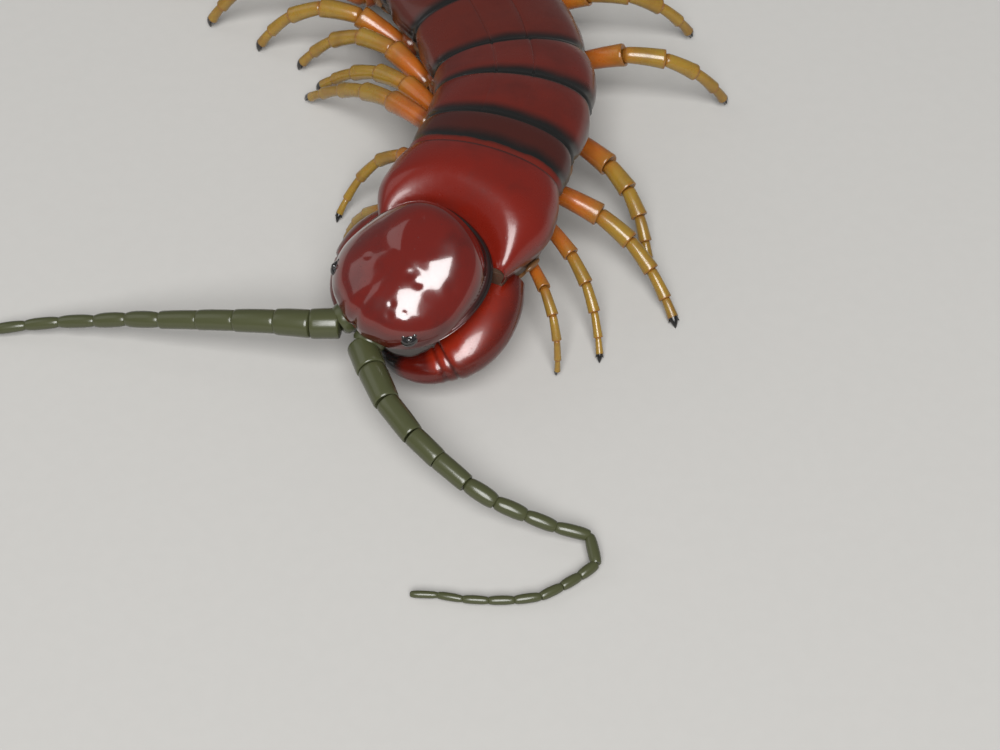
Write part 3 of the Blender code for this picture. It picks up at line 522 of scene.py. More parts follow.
def finish_piece(name, shape, material, nodes=()):
    """Makes a piece of the shape: faces out, smooth, riding on the body and standing for its solids."""
    old = bpy.data.objects.get(name)
    if old:
        bpy.data.objects.remove(old)
    bmesh.ops.recalc_face_normals(shape, faces=shape.faces[:])
    mesh = bpy.data.meshes.new(name)
    shape.to_mesh(mesh)
    shape.free()
    mesh.materials.append(material)
    mesh.shade_smooth()
    mesh.set_sharp_from_angle(angle=SHARP_ANGLE)
    piece = bpy.data.objects.new(name, mesh)
    bpy.context.scene.collection.objects.link(piece)
    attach(piece, "root")
    if nodes:
        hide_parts(*nodes)


def thicken(shape, wall):
    """Gives an open sheet its wall and rounds the rim."""
    bmesh.ops.solidify(shape, geom=shape.faces[:], thickness=wall)
    rim = [edge for edge in shape.edges if len(edge.link_faces) == 2 and edge.calc_face_angle(0.0) > RIM_ANGLE]
    bmesh.ops.bevel(shape, geom=rim, offset=wall * 0.32, segments=2, profile=0.5, affect="EDGES", material=-1)


def link_of_limb(shape, start, end, widths, profile, sides, run, number, bow=0.0):
    """One turned article from start to end. `run` gives its place along the limb, for its colour."""
    way = end - start
    across = way.cross(UP).normalized()
    up = across.cross(way).normalized()
    rows = []
    for share, spread in profile:
        inner = min(1.0, max(0.0, share))
        centre = start + way * share + up * (bow * way.length * math.sin(math.pi * inner))
        joint = max(0.0, 1.0 - min(inner, 1.0 - inner) / 0.12)
        rows.append((centre, (widths[0] + (widths[1] - widths[0]) * inner) / 2 * spread, inner, joint))
    rows.insert(0, (start + way * profile[0][0], 0.0, 0.0, 1.0))
    rows.append((start + way * profile[-1][0], 0.0, 1.0, 1.0))

    def place(angle, row):
        centre, radius, inner, joint = rows[row]
        point = centre + (across * math.cos(angle) + up * math.sin(angle)) * radius
        return point, (run[0] + (run[1] - run[0]) * inner, math.sin(angle), joint, number)

    roll_tube(shape, sides, len(rows), place)


def spike(shape, root, tip, lean, width, sides, marks, rows=9):
    """A curved, pointed claw from root to tip, bulging to one side by `lean`."""
    way = tip - root
    across = way.cross(lean if lean.length > 0 else UP).normalized()
    up = across.cross(way).normalized()

    def place(angle, row):
        share = max(0.0, (row - 1) / (rows - 2))
        centre = root + way * share + lean * math.sin(math.pi * share) * 0.5
        radius = 0.0 if row == 0 else width / 2 * (1.0 - share) ** 0.75
        return centre + (across * math.cos(angle) + up * math.sin(angle)) * radius, marks

    roll_tube(shape, sides, rows, place)


def limb_joints(root, foot, lengths, bends, lean):
    """Joints of an arched limb of fixed lengths from root to foot, its bend solved for the reach."""
    chord = foot - root
    steps = np.concatenate([[0.0], np.cumsum(bends)])

    def run(bend):
        moves = [lengths * np.cos(bend * steps), -lengths * np.sin(bend * steps)]
        return np.cumsum(np.stack(moves, axis=1), axis=0)

    low, high = 0.0, math.pi / steps[-1]
    for _ in range(50):
        middle = (low + high) / 2
        if np.linalg.norm(run(middle)[-1]) > chord.length:
            low = middle
        else:
            high = middle
    plane = run(low)
    out = chord.normalized()
    arch = (UP - out * out.z).normalized()
    arch = Matrix.Rotation(math.radians(lean), 3, out) @ arch
    tilt = math.atan2(plane[-1][1], plane[-1][0])
    joints = [root.copy()]
    for x, y in plane:
        forward = x * math.cos(tilt) + y * math.sin(tilt)
        rise = -x * math.sin(tilt) + y * math.cos(tilt)
        joints.append(root + out * forward + arch * rise)
    return joints


class Nodes:
    """Adds shader nodes to a tree and links or sets their inputs."""

    def __init__(self, tree):
        self.tree = tree

    def add(self, kind, inputs=None, **settings):
        made = self.tree.nodes.new(kind)
        for name, value in settings.items():
            setattr(made, name, value)
        for key, value in (inputs or {}).items():
            self.feed(made.inputs[key], value)
        return made

    def feed(self, socket, value):
        if isinstance(value, bpy.types.NodeSocket):
            self.tree.links.new(value, socket)
        elif socket.type == "RGBA":
            socket.default_value = (*value, 1.0)
        else:
            socket.default_value = value

    def mark(self, name):
        """A number kept at each point of the piece."""
        return self.add("ShaderNodeAttribute", attribute_name=name).outputs["Fac"]

    def step(self, value, low, high, bottom=0.0, top=1.0):
        """A smooth change from bottom to top as the value goes from low to high."""
        inputs = {"Value": value, "From Min": low, "From Max": high, "To Min": bottom, "To Max": top}
        return self.add("ShaderNodeMapRange", inputs, interpolation_type="SMOOTHSTEP").outputs["Result"]

    def maths(self, operation, first, second=0.0):
        return self.add("ShaderNodeMath", {0: first, 1: second}, operation=operation).outputs[0]

    def blend(self, factor, first, second):
        """Colour `first` turning into `second`."""
        return self.add("ShaderNodeMix", {0: factor, 6: first, 7: second}, data_type="RGBA").outputs[2]

    def cloud(self, place, scale, detail=3.0, rough=0.55):
        inputs = {"Vector": place, "Scale": scale, "Detail": detail, "Roughness": rough}
        return self.add("ShaderNodeTexNoise", inputs).outputs["Fac"]

    def object_place(self):
        return self.add("ShaderNodeTexCoord").outputs["Object"]


def group_sockets(tree, inputs, outputs):
    for name, default in inputs:
        kind = "NodeSocketVector" if default is None else "NodeSocketFloat"
        socket = tree.interface.new_socket(name=name, in_out="INPUT", socket_type=kind)
        if default is not None:
            socket.default_value = default
    for name in outputs:
        tree.interface.new_socket(name=name, in_out="OUTPUT", socket_type="NodeSocketFloat")


def shell_group():
    """Relief and tint shared by every shell: fine pits, soft waves and cloudy patches."""
    tree = bpy.data.node_groups.get("shell_relief")
    if tree:
        return tree
    tree = bpy.data.node_groups.new("shell_relief", "ShaderNodeTree")
    inputs = (("Place", None), ("Pits per metre", 2600.0), ("Pit size", 0.20), ("Pit depth", 0.00002),
              ("Waves per metre", 900.0), ("Wave height", 0.00001), ("Patches per metre", 260.0))
    group_sockets(tree, inputs, ("Height", "Pits", "Patches"))
    nodes = Nodes(tree)
    given = nodes.add("NodeGroupInput").outputs
    given_out = nodes.add("NodeGroupOutput")
    cells = nodes.add("ShaderNodeTexVoronoi", {"Vector": given["Place"], "Scale": given["Pits per metre"]})
    pits = nodes.step(cells.outputs["Distance"], given["Pit size"], 0.02)
    waves = nodes.cloud(given["Place"], given["Waves per metre"], detail=4.0)
    patches = nodes.cloud(given["Place"], given["Patches per metre"], detail=5.0, rough=0.6)
    dip = nodes.maths("MULTIPLY", pits, given["Pit depth"])
    swell = nodes.maths("MULTIPLY", waves, given["Wave height"])
    nodes.feed(given_out.inputs["Height"], nodes.maths("SUBTRACT", swell, dip))
    nodes.feed(given_out.inputs["Pits"], pits)
    nodes.feed(given_out.inputs["Patches"], patches)
    return tree


def shell_material(name, paint, relief, coat, roughness=None, glow=0.0, dull=None):
    """A shell: `paint` gives its colour from the marks, `relief` the values of its relief.

    `roughness` is its range over the patches. A limb whose gloss ends part of the way out has `dull`
    in its place: where along the limb it ends, and the roughness before and after.
    """
    made = bpy.data.materials.get(name)
    if made:
        return made
    made = bpy.data.materials.new(name)
    made.use_nodes = True
    nodes = Nodes(made.node_tree)
    shader = made.node_tree.nodes["Principled BSDF"]
    place = nodes.object_place()
    surface = nodes.add("ShaderNodeGroup", {}, node_tree=shell_group())
    nodes.feed(surface.inputs["Place"], place)
    for key, value in relief.items():
        nodes.feed(surface.inputs[key], value)
    patches = surface.outputs["Patches"]
    nodes.feed(shader.inputs["Base Color"], paint(nodes, patches, surface.outputs["Pits"]))
    if dull:
        nodes.feed(shader.inputs["Roughness"], nodes.step(nodes.mark("run"), *dull))
        nodes.feed(shader.inputs["Coat Weight"], nodes.step(nodes.mark("run"), dull[0], dull[1], coat, 0.0))
    else:
        nodes.feed(shader.inputs["Roughness"], nodes.step(patches, 0.30, 0.72, *roughness))
        shader.inputs["Coat Weight"].default_value = coat
    bump = nodes.add("ShaderNodeBump", {"Height": surface.outputs["Height"], "Strength": 1.0, "Distance": 1.0})
    nodes.feed(shader.inputs["Normal"], bump.outputs["Normal"])
    shader.inputs["Coat Roughness"].default_value = COAT_ROUGHNESS
    shader.inputs["Subsurface Weight"].default_value = glow
    shader.inputs["Subsurface Scale"].default_value = GLOW_DEPTH
    shader.inputs["Subsurface Radius"].default_value = GLOW_RADIUS
    return made


def darker(colour, share):
    return [share * part for part in colour]


def head_material():
    finish = bpy.context.scene.centipede_finish

    def paint(nodes, patches, pits):
        rim = nodes.step(nodes.mark("run"), 0.86, 0.965)
        rear = nodes.step(nodes.mark("across"), -0.2, 0.5)
        dark = nodes.maths("MULTIPLY", rim, nodes.step(rear, 0.0, 1.0, 0.45, 1.0))
        tone = nodes.maths("MULTIPLY", nodes.step(patches, 0.42, 0.70), 0.55)
        base = nodes.blend(tone, finish.head, darker(finish.head, 0.45))
        # Painted shade: the fine pits are darkened towards the blackish rim colour
        base = nodes.blend(nodes.maths("MULTIPLY", pits, 0.35), base, finish.head_dark)
        return nodes.blend(dark, base, finish.head_dark)

    relief = {"Pits per metre": 1700.0, "Pit size": 0.11, "Pit depth": 0.000012, "Waves per metre": 600.0,
              "Wave height": 0.000012, "Patches per metre": 330.0}
    return shell_material("head_gloss", paint, relief, roughness=(0.13, 0.27), coat=0.9)


def plate_material():
    finish = bpy.context.scene.centipede_finish

    def paint(nodes, patches, pits):
        number = nodes.mark("number")
        wander = nodes.maths("MULTIPLY", nodes.maths("SUBTRACT", patches, 0.5), 0.9)
        front = nodes.maths("ADD", nodes.mark("joint"), wander)
        behind_collar = nodes.step(number, 1.2, 1.8)
        is_second = nodes.maths("MULTIPLY", behind_collar, nodes.step(number, 2.8, 2.2))
        band_start = nodes.maths("MULTIPLY", is_second, 0.95)
        band = nodes.maths("MULTIPLY", nodes.step(front, 2.1, 1.15), behind_collar)
        band = nodes.maths("MULTIPLY", band, nodes.maths("GREATER_THAN", front, band_start))
        red = nodes.blend(behind_collar, finish.collar, finish.plate)
        red = nodes.blend(nodes.maths("MULTIPLY", is_second, nodes.step(front, 0.7, 1.0)), red, finish.second)
        red = nodes.blend(nodes.step(number, 3.2, 7.0), red, finish.plate_rear)
        tone = nodes.maths("MULTIPLY", nodes.step(patches, 0.40, 0.72), 0.45)
        red = nodes.blend(tone, red, darker(finish.plate, 0.40))
        # Painted shade: the sides, where the plate turns down, are blended towards the black of the front bands
        side = nodes.step(nodes.maths("ABSOLUTE", nodes.mark("across")), 0.72, 1.0, 0.0, 0.65)
        red = nodes.blend(side, red, finish.band)
        edge = nodes.step(nodes.mark("run"), 0.955, 0.995, 0.0, 0.8)
        red = nodes.blend(edge, red, finish.band)
        return nodes.blend(band, red, finish.band)

    relief = {"Pits per metre": 1500.0, "Pit size": 0.10, "Pit depth": 0.000010, "Waves per metre": 700.0,
              "Wave height": 0.000014, "Patches per metre": 240.0}
    return shell_material("plate_gloss", paint, relief, roughness=(0.24, 0.40), coat=0.22)


def belly_material():
    finish = bpy.context.scene.centipede_finish

    def paint(nodes, patches, pits):
        tone = nodes.step(patches, 0.36, 0.70, 0.0, 0.6)
        base = nodes.blend(tone, finish.belly, darker(finish.belly, 0.45))
        # Darker where the joint mark is high: towards the edges of the belly plates, on the spines of the tail
        # lobes, and as painted shade deep inside the breathing holes
        edge = nodes.step(nodes.mark("joint"), 0.6, 1.0, 0.0, 0.6)
        return nodes.blend(edge, base, darker(finish.belly, 0.25))

    relief = {"Pits per metre": 1800.0, "Pit depth": 0.000010, "Wave height": 0.000020}
    return shell_material("belly_satin", paint, relief, roughness=(0.24, 0.42), coat=0.2)


def skin_material():
    finish = bpy.context.scene.centipede_finish

    def paint(nodes, patches, pits):
        base = nodes.blend(nodes.step(patches, 0.35, 0.72), finish.skin, darker(finish.skin, 0.42))
        # Painted shade: the fine pits are darkened
        return nodes.blend(nodes.maths("MULTIPLY", pits, 0.4), base, darker(finish.skin, 0.25))

    relief = {"Pits per metre": 3600.0, "Pit size": 0.34, "Pit depth": 0.000022, "Waves per metre": 1500.0,
              "Wave height": 0.000060, "Patches per metre": 420.0}
    return shell_material("soft_skin", paint, relief, coat=0.05, roughness=(0.38, 0.58), glow=0.1)


def poison_claw_material():
    finish = bpy.context.scene.centipede_finish

    def paint(nodes, patches, pits):
        run = nodes.mark("run")
        wander = nodes.maths("MULTIPLY", nodes.maths("SUBTRACT", patches, 0.5), 0.05)
        run = nodes.maths("ADD", run, wander)
        base = nodes.blend(nodes.step(patches, 0.38, 0.70, 0.0, 0.5), finish.claw_shell, finish.claw_deep)
        outer = nodes.step(nodes.mark("across"), 0.35, 0.95, 0.0, 0.75)
        base = nodes.blend(outer, base, darker(finish.claw_deep, 0.35))
        base = nodes.blend(nodes.step(run, 0.02, 0.16, 0.8, 0.0), base, finish.claw_deep)
        base = nodes.blend(nodes.step(run, 0.47, 0.53), base, finish.claw_deep)
        base = nodes.blend(nodes.mark("joint"), base, darker(finish.claw_deep, 0.15))
        return nodes.blend(nodes.step(run, 0.66, 0.76), base, finish.claw_tip)

    relief = {"Pits per metre": 2000.0, "Pit size": 0.12, "Pit depth": 0.000010, "Waves per metre": 700.0,
              "Wave height": 0.000012, "Patches per metre": 300.0}
    return shell_material("poison_claw_gloss", paint, relief, roughness=(0.20, 0.34), coat=0.35, glow=0.10)


def leg_material():
    finish = bpy.context.scene.centipede_finish

    def paint(nodes, patches, pits):
        run = nodes.mark("run")
        base = nodes.blend(nodes.step(run, 0.12, 0.40), finish.leg_root, finish.leg_middle)
        # Painted shade: darker at the root, where the leg goes in under the body
        base = nodes.blend(nodes.step(run, 0.07, 0.0, 0.0, 0.75), base, finish.claw_deep)
        base = nodes.blend(nodes.step(patches, 0.40, 0.72, 0.0, 0.45), base, darker(finish.leg_joint, 0.55))
        ring = nodes.maths("MULTIPLY", nodes.step(nodes.mark("joint"), 0.25, 1.0), 0.75)
        base = nodes.blend(ring, base, finish.leg_joint)
        return nodes.blend(nodes.step(run, 0.925, 0.955), base, finish.claw_tip)

    relief = {"Pits per metre": 3200.0, "Pit size": 0.14, "Pit depth": 0.000010, "Waves per metre": 1100.0,
              "Wave height": 0.000022, "Patches per metre": 420.0}
    return shell_material("leg_satin", paint, relief, roughness=(0.20, 0.36), coat=0.25, glow=0.22)


def feeler_material():
    finish = bpy.context.scene.centipede_finish

    def paint(nodes, patches, pits):
        run = nodes.mark("run")
        base = nodes.blend(nodes.step(run, *GLOSS_ENDS), finish.feeler, finish.feeler_tip)
        base = nodes.blend(nodes.step(patches, 0.38, 0.70, 0.0, 0.4), base, darker(finish.feeler, 0.5))
        joint = nodes.step(nodes.mark("joint"), 0.35, 0.9)
        base = nodes.blend(nodes.maths("MULTIPLY", joint, 0.5), base, darker(finish.feeler, 0.4))
        ring = nodes.maths("MULTIPLY", joint, nodes.step(run, 0.13, 0.18, 0.9, 0.0))
        ring = nodes.maths("MAXIMUM", ring, nodes.step(run, 0.018, 0.008))
        return nodes.blend(ring, base, finish.feeler_ring)

    relief = {"Pits per metre": 4200.0, "Pit size": 0.24, "Pit depth": 0.000003, "Waves per metre": 900.0,
              "Wave height": 0.000004, "Patches per metre": 420.0}
    dull = (*GLOSS_ENDS, 0.16, 0.55)
    return shell_material("feeler_shell", paint, relief, coat=0.6, dull=dull)


def eye_material():
    finish = bpy.context.scene.centipede_finish

    def paint(nodes, patches, pits):
        return nodes.blend(patches, finish.eye, [2.5 * part for part in finish.eye])

    relief = {"Pit depth": 0.0, "Wave height": 0.000004}
    return shell_material("eye_lens", paint, relief, coat=1.0, roughness=(0.05, 0.10))


def shield_height(rho, side, front):
    """Height of the shield over its rim plane at a share of its outline.

    `front` is +1 ahead and -1 behind.
    """
    head = bpy.context.scene.centipede_head
    rear = ease(-front, -0.45, 0.25)
    brim = 1.0 - head.brim * rear
    across = side * side
    steep = DOME_STEEP[0] * across + DOME_STEEP[1 if front > 0 else 2] * (1.0 - across)
    blunt = DOME_BLUNT[0] * across + DOME_BLUNT[1] * (1.0 - across)
    dome = max(0.0, 1.0 - min(1.0, rho / brim) ** steep) ** blunt
    flange = 0.10 * head.rise * rear * ease(rho, 1.0, brim - 0.03)
    bead = head.bead * hump(rho - 0.978, 0.014) * (0.35 + 0.65 * rear)
    lean = head.lean * front * rho * head.length / 2 * dome
    return SHIELD_EDGE + (head.rise - SHIELD_EDGE - flange) * dome + flange + bead - lean


def shield_point(a, b):
    """A point of the shield's surface in the head's frame, from a square's shares -1..1."""
    head = bpy.context.scene.centipede_head
    x, y = a * math.sqrt(1 - b * b / 2), b * math.sqrt(1 - a * a / 2)
    radius = min(1.0, math.hypot(x, y))
    angle = math.atan2(x, -y)
    rho = math.sin(radius * math.pi / 2)
    wide, long = head_outline(angle)
    side, front = math.sin(angle), math.cos(angle)
    notch = 1.0 - 0.035 * hump(angle, 0.11) - 0.020 * (hump(angle - 0.42, 0.16) + hump(angle + 0.42, 0.16))
    notch = notch if front > 0 else 1.0
    place = Vector((rho * wide * head.width / 2, rho * long * head.length / 2 * notch, 0.0))
    place.z = shield_height(rho, side, front)
    for left, ahead, size, deep in DENTS:
        gap = math.hypot(place.x / MM - left, -place.y / MM - ahead)
        place.z -= deep * MM * hump(gap, size)
    place.z += 0.022 * MM * noise.noise(place / MM * 0.9) * (1 - rho ** 4)
    return place, (rho, -front, 0.0, 0.0)


class CENTIPEDE_OT_head(bpy.types.Operator):
    """Adds the head shield and the head's sides and underside"""

    bl_idname = "centipede.head"
    bl_label = "Head"

    def execute(self, context):
        spine = Spine()
        turn = head_frame(spine)
        self.shield(turn)
        self.capsule(turn)
        return {"FINISHED"}

    def shield(self, turn):
        shape = new_shape()

        def place(column, row):
            return shield_point(2 * column / SHIELD_CELLS - 1, 2 * row / SHIELD_CELLS - 1)

        lay_grid(shape, SHIELD_CELLS, SHIELD_CELLS, place)
        edge = [e for e in shape.edges if e.is_boundary]
        for inward, level in SHIELD_RIM:
            grown = bmesh.ops.extrude_edge_only(shape, edges=edge)["geom"]
            edge = [g for g in grown if isinstance(g, bmesh.types.BMEdge)]
            ring = {vert for e in edge for vert in e.verts}
            for vert in ring:
                vert.co.x *= 1 - inward
                vert.co.y *= 1 - inward
                vert.co.z = SHIELD_EDGE + level * MM
        bmesh.ops.triangulate(shape, faces=bmesh.ops.contextual_create(shape, geom=edge)["faces"])
        shape.transform(turn)
        finish_piece("head_shield", shape, head_material(), ("head",))

    def capsule(self, turn):
        head = bpy.context.scene.centipede_head
        shape = new_shape()

        def place(angle, row):
            spread, level, back = HEAD_LEVELS[row]
            wide, long = head_outline(angle)
            swell = 1.0 + 0.012 * noise.noise(Vector((math.sin(angle) * 3, math.cos(angle) * 3, level * 4)))
            point = Vector((wide * spread * head.width / 2 * swell, long * spread * head.length / 2 * swell,
                            0.15 * MM + level * head.depth))
            point.y += back * head.length
            return point, (0.4, -math.cos(angle), 0.0, 0.0)

        roll_tube(shape, HEAD_SIDES, len(HEAD_LEVELS), place)
        edge = [e for e in shape.edges if e.is_boundary]
        bmesh.ops.triangulate(shape, faces=bmesh.ops.contextual_create(shape, geom=edge)["faces"])
        shape.transform(turn)
        finish_piece("head_underside", shape, head_material(), ("head",))


class CENTIPEDE_OT_eyes(bpy.types.Operator):
    """Adds four small domed eyes at each front corner of the head"""

    bl_idname = "centipede.eyes"
    bl_label = "Eyes"

    def execute(self, context):
        turn = head_frame(Spine())
        for side in (1, -1):
            shape = new_shape()
            patch = Vector((side * EYE_PLACE.x, EYE_PLACE.y, EYE_PLACE.z))
            self.dome(shape, patch, EYE_PATCH, 32)
            for x, y in EYE_DOME_PLACES:
                flat = 1.0 - (x / (EYE_PATCH.x / MM)) ** 2 - (y / (EYE_PATCH.y / MM)) ** 2
                up = EYE_PATCH.z * math.sqrt(flat) - EYE_DOME * 0.3
                place = Vector((side * (EYE_PLACE.x + x * MM), EYE_PLACE.y + y * MM, EYE_PLACE.z + up))
                self.dome(shape, place, Vector((EYE_DOME, EYE_DOME, EYE_DOME)), 24)
            shape.transform(turn)
            name = f"eye_{side_name(side)}"
            finish_piece(f"{name}_lenses", shape, eye_material(), (name,))
        return {"FINISHED"}

    def dome(self, shape, place, radii, sides):
        made = bmesh.ops.create_uvsphere(shape, u_segments=sides, v_segments=sides // 2, radius=1.0)["verts"]
        bmesh.ops.scale(shape, vec=radii, verts=made)
        bmesh.ops.translate(shape, vec=place, verts=made)


def tuck_under_shield(turn, back, point):
    """Lowers a point of the neck so that it passes under the shield's rim and swells up behind it."""
    head = bpy.context.scene.centipede_head
    local = back @ point
    angle = math.atan2(local.x / head.width, -local.y / head.length)
    wide, long = head_outline(angle)
    rim = math.hypot(wide * head.width / 2, long * head.length / 2)
    outside = max(0.0, (math.hypot(local.x, local.y) - rim) / MM + 0.1)
    cap = (-0.1 + 0.95 * outside ** 0.85) * MM
    local.z = cap - TUCK_SOFTNESS * math.log(1.0 + math.exp(min(30.0, (cap - local.z) / TUCK_SOFTNESS)))
    return turn @ local


class CENTIPEDE_OT_back_plates(bpy.types.Operator):
    """Adds the 21 plates of the back, each over the front of the next"""

    bl_idname = "centipede.back_plates"
    bl_label = "Back plates"

    def execute(self, context):
        spine = Spine()
        turn = head_frame(spine)
        for number in range(1, SEGMENTS + 1):
            self.plate(spine, number, turn)
        return {"FINISHED"}

    def columns(self, spine, number):
        """Places across a plate, closer together at the grooves and the side rims."""
        trunk = bpy.context.scene.centipede_trunk
        reach = 1.16 if number == 1 else 1.03
        places = list(np.linspace(-reach, reach, 61 if number < 5 else 45))
        half = spine.width(spine.inside(number, 0.5)) / 2
        groove = 2 / math.pi * math.asin(trunk.suture_place)
        for side in (-1, 1):
            for share in (-1.6, -0.9, -0.4, 0.0, 0.4, 0.9, 1.6):
                places.append(side * (groove + share * trunk.suture_width / half / (math.pi / 2)))
            for share in (0.90, 0.93, 0.955, 0.975, 0.99):
                places.append(side * reach * share)
        places.sort()
        kept = places[:1]
        for place in places[1:]:
            if place - kept[-1] > 0.0025:
                kept.append(place)
        return kept

    def plate(self, spine, number, turn):
        trunk = bpy.context.scene.centipede_trunk
        columns = self.columns(spine, number)
        rows = COLLAR_ROWS if number == 1 else PLATE_ROWS
        spreads = COLLAR_SPREADS if number == 1 else PLATE_SPREADS
        heights = COLLAR_HEIGHTS if number == 1 else PLATE_HEIGHTS
        start, end = spine.ends[number - 1], spine.ends[number]
        reach = columns[-1]
        sutures = ease(number, 2.5, 4.0) if number < SEGMENTS else 0.0
        back = turn.inverted()
        shape = new_shape()

        def place(column, row):
            across, share = columns[column], rows[row]
            edge = abs(across) / reach
            corner = 1.0 - edge ** 7 * (0.30 if share > 0.5 else 0.0) * ease(share, 0.5, 1.0)
            bow = 0.20 * (1 - edge ** 2) if number == SEGMENTS else 0.0
            station = start + share * corner * (end - start + trunk.overlap + bow * (end - start) * share)
            taper = 1.0 - (1.0 - TAIL_TAPER) * ease(share, 0.45, 1.05) if number == SEGMENTS else 1.0
            half, rise, depth = spine.section(station, smooth_along(spreads, share) * taper,
                                              smooth_along(heights, share) * taper)
            if abs(across) <= 1:
                x = math.sin(math.pi / 2 * across) * half
                z = math.cos(math.pi / 2 * across) ** DOME_POWER * rise
            else:
                over = abs(across) - 1
                x = math.copysign(1 - 0.35 * over, across) * half
                z = -1.5 * over * depth
            out = Vector((x / half, 0, max(0.0, z / rise))).normalized()
            groove = abs(abs(x) / half - trunk.suture_place) * half
            lift = -trunk.suture_depth * hump(groove, trunk.suture_width) * sutures * ease(share, 0.05, 0.14)
            if number > 1:
                ahead = share * (end - start) / MM
                lift += (0.09 * hump(ahead - RIDGE, 0.13) - 0.07 * hump(ahead - RIDGE - 0.32, 0.16)) * MM
            rimmed = ease(number, 3.0, 9.0)
            lift += trunk.edge_roll * (hump(edge - 0.975, 0.02) - 0.7 * hump(edge - 0.925, 0.02)) * rimmed
            spot = Vector((across * 2.2, station / MM * 0.35, number * 3.7))
            lift += trunk.relief * noise.noise(spot)
            lift -= (0.10 * MM * ease(number, 4.0, 8.0) * hump(abs(across) - 0.48, 0.12)
                     * hump(share - 0.55, 0.30))
            point = spine.frame(station) @ (Vector((x, 0, z)) + out * lift)
            if number < 3:
                point = tuck_under_shield(turn, back, point)
            ahead = (station - start) / MM
            return point, (share, across / reach, ahead, float(number))

        lay_grid(shape, len(columns) - 1, len(rows) - 1, place)
        thicken(shape, trunk.wall)
        node = f"trunk_{(number + 2) // 3}"
        finish_piece(f"back_plate_{number:02d}", shape, plate_material(), (node,))


class CENTIPEDE_OT_belly_plates(bpy.types.Operator):
    """Adds the 21 plates of the belly with their two lengthwise grooves"""

    bl_idname = "centipede.belly_plates"
    bl_label = "Belly plates"

    def execute(self, context):
        spine = Spine()
        for number in range(1, SEGMENTS + 1):
            self.plate(spine, number)
        return {"FINISHED"}

    def plate(self, spine, number):
        trunk = bpy.context.scene.centipede_trunk
        start, end = spine.ends[number - 1], spine.ends[number]
        shape = new_shape()

        def place(column, row):
            across, share = 1 - 2 * column / BELLY_CELLS, row / BELLY_ROWS
            corner = 1.0 - 0.20 * abs(across) ** 6
            station = start + (end - start) * (0.04 + 0.5 * BELLY_SHARE + (share - 0.5) * BELLY_SHARE * corner)
            taper = 1.0 - (1.0 - TAIL_TAPER * 0.8) * share if number == SEGMENTS else 1.0
            half, _, depth = spine.section(station, 1.0, 1.0)
            x = across * BELLY_REACH * half * taper * (1 - 0.05 * (2 * share - 1) ** 2)
            z = -depth * (0.985 + 0.02 * (1 - abs(across) ** 3))
            z *= 1.0 if number < SEGMENTS else 1 - 0.12 * share
            groove = abs(abs(across) - BELLY_GROOVE) * BELLY_REACH * half
            z += (0.10 * MM * hump(groove, 0.11 * MM) * ease(share, 0.0, 0.12)
                  * (1 - 0.8 * ease(share, 0.75, 1.0)))
            z -= 0.09 * MM
            z += 0.05 * MM * noise.noise(Vector((across * 3, station / MM * 0.4, number * 2.3)))
            edge = max(abs(across), abs(2 * share - 1)) ** 3
            return spine.frame(station) @ Vector((x, 0, z)), (share, across, edge, float(number))

        lay_grid(shape, BELLY_CELLS, BELLY_ROWS, place)
        thicken(shape, trunk.wall)
        node = f"trunk_{(number + 2) // 3}"
        finish_piece(f"belly_plate_{number:02d}", shape, belly_material(), (node,))


@lru_cache
def leg_stance(number, side):
    """A leg's reach, swing, lean and length, and its root's place as three shares."""
    length = along(LEG_LENGTH_AT, number)
    phase = 2 * math.pi * number / SWING_PERIOD + (0.0 if side > 0 else math.pi)
    swing = SWING * math.sin(phase) + SWING_TREND * (number - SWING_MIDDLE)
    usual = (REACH_SHARE * length, swing, side * LEAN, length, LEG_STATION, LEG_ROOT_REACH, LEG_ROOT_DROP)
    return FRONT_STANCES.get((side_name(side), number), usual)


def leg_place(spine, number, side):
    """The station of a leg's root."""
    return spine.inside(number, leg_stance(number, side)[4])


def flank_point(spine, number, station, around, side):
    """A point of the trunk's soft side; `around` runs from its side edge, 0, to the middle of the belly, 1."""
    trunk = bpy.context.scene.centipede_trunk
    half, _, depth = spine.section(station, 0.97, 0.97)
    x, z = smooth_along(FLANK_WIDTHS, around) * half, smooth_along(FLANK_LEVELS, around) * depth
    leg = leg_place(spine, number, side)
    nearest = min(abs(station - end) for end in spine.ends)
    side_share = hump(around - 0.36, 0.28)
    fold = -0.75 * trunk.fold_depth * hump(nearest, 0.45 * MM)
    swell = 2.4 * trunk.fold_depth * hump(station - leg, 1.5 * MM) * hump(around - 0.44, 0.17)
    ripple = math.cos(around * 34.0 + 3.0 * math.sin(station / MM * 1.3 + number))
    pleat = 0.55 * trunk.fold_depth * ripple * side_share
    rough = 0.8 * trunk.fold_depth * noise.noise(Vector((station / MM * 1.1, around * 16.0, side * 5.0)))
    out = Vector((x / half, 0, z / depth)).normalized()
    return Vector((side * x, 0, z)) + Vector((side * out.x, 0, out.z)) * (fold * (0.4 + side_share) + swell
                                                                         + (pleat + rough) * side_share)


